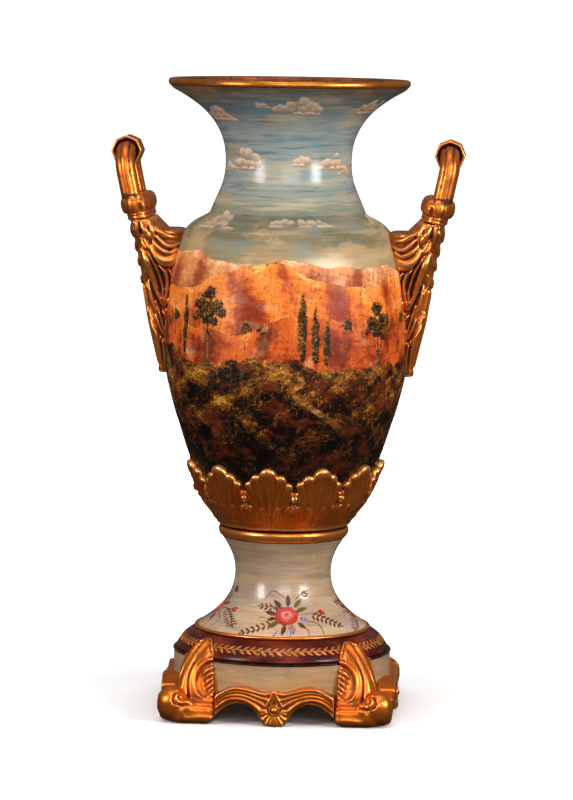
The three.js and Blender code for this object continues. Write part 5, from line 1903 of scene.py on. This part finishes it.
def stem_from_image(px, py):
    """Azimuth and height of the stem surface seen at image points."""
    th = np.full(np.shape(px), AZ)
    z = np.full(np.shape(px), 176.0)
    for _ in range(30):
        p = stem_point(th, z, 0.0)
        qx, qy = project(p)
        r = np.hypot(p[..., 0], p[..., 1])
        th = th + np.clip((px - qx) * 1.52 / r, -0.2, 0.2) * 0.8
        z = np.clip(z + np.clip((qy - py) * 1.2, -6, 6), 132, 268)
    return th, z


SPRAY_ORIGIN = (195.0, 540.0)
SPRAY_SCALE = 6.0


def spray_xy(x, y):
    return stem_from_image(SPRAY_ORIGIN[0] + np.asarray(x) / SPRAY_SCALE, SPRAY_ORIGIN[1] + np.asarray(y) / SPRAY_SCALE)


def make_sprays():
    rng = np.random.default_rng(8)
    work = []  # (x grid, y grid, h grid, colour grid)

    def leaf(x, y, deg, length, width, colour, h=0.22, curve=0.0):
        t, w, half = leaf_shape()
        a = math.radians(deg)
        along = t[:, None] * length
        across = w[None, :] * half[:, None] * width / 2 + curve * (t[:, None] - t[:, None] ** 2) * length
        gx = x + along * math.cos(a) - across * math.sin(a)
        gy = y + along * math.sin(a) + across * math.cos(a)
        gh = h * (1 - np.abs(w[None, :]) ** 2.5) * np.ones((len(t), 1)) - 0.06
        base = np.array(colour)
        vein = (0.72 + 0.45 * np.abs(w[None, :, None]) ** 0.7) * np.ones((len(t), 1, 1))
        tipc = 0.85 + 0.35 * t[:, None, None]
        work.append((gx, gy, gh, np.clip(base * vein * tipc, 0, 1)))

    def line(pts, width, colour, h=0.16):
        c = catmull(np.array(pts, float), 4.0)
        d = np.gradient(c, axis=0)
        d /= np.maximum(np.linalg.norm(d, axis=1)[:, None], 1e-6)
        nrm = np.stack([-d[:, 1], d[:, 0]], 1)
        w = np.array([-1, 0, 1.0])
        taper = (np.sin(math.pi * np.linspace(0.10, 0.94, len(c))) ** 0.5)[:, None]
        gx = c[:, 0][:, None] + nrm[:, 0][:, None] * w * width / 2 * taper
        gy = c[:, 1][:, None] + nrm[:, 1][:, None] * w * width / 2 * taper
        gh = np.array([-0.05, h, -0.05]) * np.ones((len(c), 1))
        work.append((gx, gy, gh, np.broadcast_to(np.array(colour), (len(c), 3, 3))))

    def blob(x, y, rx, ry, deg, colour, edge, h, wobble=0.12):
        n = 18
        a = np.linspace(0, 2 * math.pi, n, endpoint=False)
        ph = rng.uniform(0, 6.28, 3)
        rr = 1 + wobble * np.sin(2 * a + ph[0]) + wobble * 0.6 * np.sin(3 * a + ph[1]) + wobble * 0.3 * np.sin(5 * a + ph[2])
        s = np.array([0.0, 0.35, 0.7, 0.92, 1.0])
        c, sn = math.cos(math.radians(deg)), math.sin(math.radians(deg))
        ex = rx * rr[:, None] * np.cos(a)[:, None] * s
        ey = ry * rr[:, None] * np.sin(a)[:, None] * s
        gx = x + ex * c - ey * sn
        gy = y + ex * sn + ey * c
        gh = (h * (1 - s**3) - 0.05) * np.ones((n, 1)) + 0.06 * (s > 0.5)
        mixk = (s**2)[None, :, None] * (0.55 + 0.45 * np.sin(a - 0.9)[:, None, None])
        col = np.array(colour) * (1 - mixk) + np.array(edge) * mixk
        work.append((gx, gy, gh, np.clip(col, 0, 1), True))

    olive, green, brown = rgb(120, 96, 34), rgb(92, 84, 34), rgb(104, 48, 22)
    red, pink, rose, dark = rgb(168, 38, 30), rgb(232, 150, 128), rgb(205, 78, 62), rgb(96, 20, 18)
    lilac, lilac2 = rgb(150, 128, 158), rgb(96, 74, 110)

    # tendrils and stems
    for pts in [
        [(420, 352), (470, 306), (545, 352)], [(600, 362), (628, 332), (658, 318)], [(640, 480), (742, 506), (784, 588)],
        [(620, 520), (676, 540), (688, 588)], [(500, 540), (478, 566), (458, 590)], [(455, 500), (415, 520), (360, 545), (282, 556)],
        [(480, 410), (440, 398), (398, 396)], [(622, 452), (700, 440), (790, 470), (872, 514)], [(560, 520), (575, 560), (562, 588)],
        [(430, 470), (404, 462), (376, 470)],
    ]:
        line(pts, 6.5, brown)
    # sprig leaflets
    for cx, cy, dx, dy, n, col in [
        (470, 498, -190, 58, 6, brown), (480, 410, -80, -14, 3, brown), (690, 446, 178, 66, 7, brown), (640, 345, 20, -26, 2, brown),
    ]:
        ang = math.degrees(math.atan2(dy, dx))
        for k in range(n):
            f = (k + 0.6) / n
            x, y = cx + dx * f, cy + dy * f
            size = 36 * (1 - 0.35 * f)
            leaf(x, y, ang - 48, size * 1.1, 15, col * rng.uniform(0.6, 1.2))
            leaf(x, y, ang + 48, size, 15, col * rng.uniform(0.6, 1.2))
        leaf(cx + dx, cy + dy, ang, 26, 10, col)
    # rose leaves
    for x, y, deg, ln, w in [
        (520, 418, -128, 76, 36), (558, 402, -92, 74, 34), (596, 408, -52, 70, 34), (490, 446, -168, 74, 34),
        (500, 490, 150, 74, 34), (540, 510, 108, 70, 32), (488, 468, 168, 60, 28), (616, 496, 34, 62, 28),
        (606, 430, -20, 70, 32), (576, 512, 74, 60, 26), (506, 424, -150, 60, 26), (628, 470, 12, 52, 22),
    ]:
        leaf(x, y, deg, ln, w, [olive, green, brown][int(rng.integers(3))] * rng.uniform(0.50, 0.90), 0.26, rng.uniform(-0.12, 0.12))
    # rose, from the outer petals in
    deep = rgb(120, 22, 20)
    for k in range(9):
        a = k * 2 * math.pi / 9 + 0.3
        blob(548 + 52 * math.cos(a), 458 + 38 * math.sin(a), 27 * rng.uniform(0.85, 1.15), 21, math.degrees(a) + 90,
             rgb(178, 54, 44) * rng.uniform(0.7, 1.2), deep * 0.5, 0.36, 0.16)
    for k in range(8):
        a = k * 2 * math.pi / 8 + 0.7
        blob(548 + 36 * math.cos(a), 455 + 27 * math.sin(a), 22 * rng.uniform(0.85, 1.15), 15, math.degrees(a) + 90,
             rgb(200, 84, 68) * rng.uniform(0.7, 1.2), deep * 0.7, 0.50, 0.16)
    for k in range(7):
        a = k * 2 * math.pi / 7 + 0.1
        blob(548 + 23 * math.cos(a), 452 + 17 * math.sin(a), 16, 11, math.degrees(a) + 90,
             rgb(228, 140, 116) * rng.uniform(0.75, 1.05), rgb(150, 34, 28), 0.64, 0.14)
    for k in range(5):
        a = k * 2 * math.pi / 5 + 0.5
        blob(549 + 11 * math.cos(a), 449 + 8 * math.sin(a), 11, 7.5, math.degrees(a) + 90,
             rgb(214, 104, 84) * rng.uniform(0.8, 1.1), deep, 0.78, 0.12)
    blob(549, 448, 6, 4.5, 0, deep * 0.7, red * 0.7, 0.88)
    # bud
    blob(758, 432, 20, 13, 20, red, dark, 0.4)
    blob(766, 430, 12, 8, 20, rose, red, 0.55)
    # small lilac flowers
    for cx, cy in [(655, 482), (586, 541)]:
        for k in range(5):
            a = k * 2 * math.pi / 5 + 0.5
            blob(cx + 13 * math.cos(a), cy + 11 * math.sin(a), 11, 8, math.degrees(a), lilac, lilac2, 0.3)
        blob(cx, cy, 5, 4, 0, rgb(214, 160, 70), rgb(150, 90, 40), 0.4)

    out = Brushwork()
    for w in work:
        th, z = spray_xy(w[0], w[1])
        for k in range(4):
            turned = th + k * math.pi / 2
            out.patch(stem_point(turned, z, w[2]), stem_point(turned, z, -0.35), w[3], len(w) > 4)
    ob = out.mesh("stem_rose_sprays", painted("rose_spray_paint", 0.26))
    settle(ob, "cream_glaze")


DOME_CURVE = catmull(DOME_OUT[3:11], 0.8, 1.2)[::-1]


def dome_point(th, s, h):
    """A point at arc length s up the dome from its widest edge."""
    c = DOME_CURVE[::-1]
    arc = np.concatenate([[0], np.cumsum(np.linalg.norm(np.diff(c, axis=0), axis=1))])
    r, z = np.interp(s, arc, c[:, 0]), np.interp(s, arc, c[:, 1])
    r1, z1 = np.interp(s + 0.4, arc, c[:, 0]), np.interp(s + 0.4, arc, c[:, 1])
    r0, z0 = np.interp(s - 0.4, arc, c[:, 0]), np.interp(s - 0.4, arc, c[:, 1])
    tr, tz = r1 - r0, z1 - z0
    ln = np.maximum(np.hypot(tr, tz), 1e-6)
    nr, nz = tz / ln, -tr / ln
    return np.stack([(r + nr * h) * np.sin(th), -(r + nr * h) * np.cos(th), z + nz * h], -1)


def make_laurel():
    rng = np.random.default_rng(4)
    out = Brushwork()
    mid, radius = 19.0, 157.0
    n = 84

    def leaf(th0, s0, deg, length, width, colour):
        t, w, half = leaf_shape(8, 5, 0.75)
        a = math.radians(deg)
        along = t[:, None] * length
        across = w[None, :] * half[:, None] * width / 2
        u = along * math.cos(a) - across * math.sin(a)
        s = s0 + along * math.sin(a) + across * math.cos(a)
        h = 0.55 * (1 - np.abs(w[None, :]) ** 2) * np.sin(math.pi * np.clip(t[:, None], 0.03, 0.97)) ** 0.6 - 0.06
        shade = 0.75 + 0.5 * (w[None, :, None] > 0) * np.ones((len(t), 1, 1))
        out.patch(dome_point(th0 + u / radius, s, h), dome_point(th0 + u / radius, s, -0.35), np.clip(np.array(colour) * shade, 0, 1))

    gold = rgb(190, 118, 46)
    for k in range(n):
        th = 2 * math.pi * (k + rng.uniform(-0.07, 0.07)) / n
        leaf(th, mid - 0.4, -38 + rng.uniform(-7, 7), 12.4, 5.0, gold * rng.uniform(0.7, 1.25))
        leaf(th + math.pi / n, mid + 0.4, 36 + rng.uniform(-7, 7), 11.6, 4.6, gold * rng.uniform(0.6, 1.1))
        if k % 4 == 1:
            a = np.linspace(0, 2 * math.pi, 13, endpoint=False)
            ring = np.array([0.0, 0.5, 0.8, 1.0])
            u = 1.9 * np.cos(a)[:, None] * ring
            s = mid - 5.4 + 1.9 * np.sin(a)[:, None] * ring
            h = np.array([0.25, 0.6, 0.5, -0.05]) * np.ones((13, 1))
            col = np.stack([gold * 0.35, gold * 0.9, gold * 1.15, gold * 0.9])[None] * np.ones((13, 1, 1))
            spot = th + (4.4 + u) / radius + 2 * math.pi / n * 0.5
            out.patch(dome_point(spot, s, h), dome_point(spot, s, -0.35), np.clip(col, 0, 1), True)
    m = 720
    th = np.arange(m) * 2 * math.pi / m
    wav = mid + 0.5 * np.sin(th * n)
    w = np.array([-0.85, 0, 0.85])
    s = wav[:, None] + w
    h = np.array([-0.05, 0.5, -0.05]) * np.ones((m, 1))
    th = th[:, None] * np.ones((1, 3))
    out.patch(dome_point(th, s, h), dome_point(th, s, -0.35), gold * 0.9, True)
    ob = out.mesh("dome_laurel_band", painted("laurel_gold_paint", 0.34, 0.35))
    settle(ob, "gilt")

# ---------------------------------------------------------------- carried-over CAD nodes
def dress_nodes():
    for name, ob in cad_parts.items():
        if name.startswith(("tie_rod", "rod_", "handle_screw")):
            m = STEEL
        elif name.startswith("floor_pad"):
            m = FELT
        else:
            m = GILT
        if not ob.data.materials:
            ob.data.materials.append(m)
        for s in ob.material_slots:
            s.material = m


# ---------------------------------------------------------------- floor and light
def area(name, at, look, size, power, tint=(1, 1, 1)):
    l = bpy.data.lights.new(name, "AREA")
    l.shape = "RECTANGLE"
    l.size, l.size_y = size
    l.energy, l.color = power, tint
    ob = bpy.data.objects.new(name, l)
    ob.location = at
    d = Vector(look) - Vector(at)
    ob.rotation_mode = "QUATERNION"
    ob.rotation_quaternion = d.to_track_quat("-Z", "Y")
    bpy.context.scene.collection.objects.link(ob)
    return ob


def ring_surface(name, rows, seg, mat):
    ang = np.arange(seg) * 2 * math.pi / seg
    v = [(0, 0, rows[0][1])]
    for r, z in rows:
        v += [(r * math.cos(a), r * math.sin(a), z) for a in ang]
    f = [(0, 1 + i, 1 + (i + 1) % seg) for i in range(seg)]
    for k in range(len(rows) - 1):
        for i in range(seg):
            j = (i + 1) % seg
            a, b = 1 + k * seg, 1 + (k + 1) * seg
            f.append((a + i, b + i, b + j, a + j))
    return make_mesh(name, np.array(v) * 1000, f, [mat])


def make_stage():
    m = Mat("floor_paper")
    n = m.noise(m.P, 3, 4)
    m.set("Base Color", m.ramp(n, [(0.3, (0.86, 0.86, 0.855, 1)), (0.7, (0.90, 0.90, 0.895, 1))]))
    m.set("Roughness", 0.9)
    m.set("Specular IOR Level", 0.1)
    m.b.inputs["Emission Color"].default_value = (1, 1, 1, 1)
    away = m.math("SQRT", m.add(m.mul(m.X, m.X), m.mul(m.Y, m.Y)))
    m.set("Emission Strength", m.step(away, 0.30, 1.20, 0.0, 0.95))
    floor = ring_surface("floor", [(1.2, 0), (3, 0), (8, 0), (14, 0)], 64, m.m)
    wall_m = Mat("backdrop_paper")
    wall_m.set("Base Color", wall_m.ramp(wall_m.noise(wall_m.P, 2, 3), [(0.3, (0.9, 0.9, 0.9, 1)), (0.7, (0.92, 0.92, 0.92, 1))]))
    wall_m.b.inputs["Emission Color"].default_value = (1, 1, 1, 1)
    wall_m.b.inputs["Emission Strength"].default_value = 1.0
    wall = ring_surface("backdrop", [(13.5, -0.2), (13.5, 14)], 96, wall_m.m)
    wall.data.polygons.foreach_set("use_smooth", np.ones(len(wall.data.polygons), bool))
    for ob in (floor, wall):
        ob.visible_glossy = False
        ob.visible_diffuse = False
        ob.visible_transmission = False
    wall.visible_shadow = False

    w = bpy.data.worlds.new("studio")
    bpy.context.scene.world = w
    w.use_nodes = True
    t = w.node_tree
    bg = t.nodes["Background"]
    tc = t.nodes.new("ShaderNodeTexCoord")
    sep = t.nodes.new("ShaderNodeSeparateXYZ")
    t.links.new(tc.outputs["Generated"], sep.inputs[0])
    ramp = t.nodes.new("ShaderNodeValToRGB")
    mr = t.nodes.new("ShaderNodeMapRange")
    t.links.new(sep.outputs[2], mr.inputs["Value"])
    mr.inputs["From Min"].default_value = -1
    mr.inputs["From Max"].default_value = 1
    t.links.new(mr.outputs[0], ramp.inputs[0])
    ramp.color_ramp.elements[0].position = 0.35
    ramp.color_ramp.elements[0].color = (0.055, 0.052, 0.05, 1)
    ramp.color_ramp.elements[1].position = 0.95
    ramp.color_ramp.elements[1].color = (0.34, 0.34, 0.35, 1)
    t.links.new(ramp.outputs[0], bg.inputs[0])
    bg.inputs[1].default_value = 0.9

    def around(deg, dist, z):
        a = AZ + math.radians(deg)
        return (dist * math.sin(a), -dist * math.cos(a), z)

    area("softbox_left", around(-52, 2.6, 1.25), (0, 0, 0.55), (0.80, 1.30), 46)
    area("softbox_right", around(50, 2.6, 1.25), (0, 0, 0.55), (0.80, 1.10), 60)
    area("top_soft", (0, -0.8, 3.2), (0, 0, 0.4), (2.2, 2.2), 34)
    area("front_fill", around(4, 4.4, 1.9), (0, 0, 0.5), (2.4, 1.8), 56)
    for name, deg, dist, z, power in [("back_left", -132, 3.0, 2.2, 34), ("back_right", 132, 3.0, 2.2, 34), ("back_fill", 180, 4.2, 1.7, 46)]:
        ob = area(name, around(deg, dist, z), (0, 0, 0.45), (2.4, 2.0), power)
        ob.visible_glossy = False
    s = bpy.context.scene
    s.view_settings.view_transform = "Standard"
    s.view_settings.look = "None"
    s.view_settings.exposure = 0.0
    s.view_settings.gamma = 0.9


make_camera()
make_neck()
make_body()
make_stem()
make_rings()
make_plinth()
make_calyx()
make_brackets()
make_aprons()
make_drapes()
make_collars()
make_bows()
make_grips()
make_laurel()
make_sprays()
dress_nodes()
make_stage()
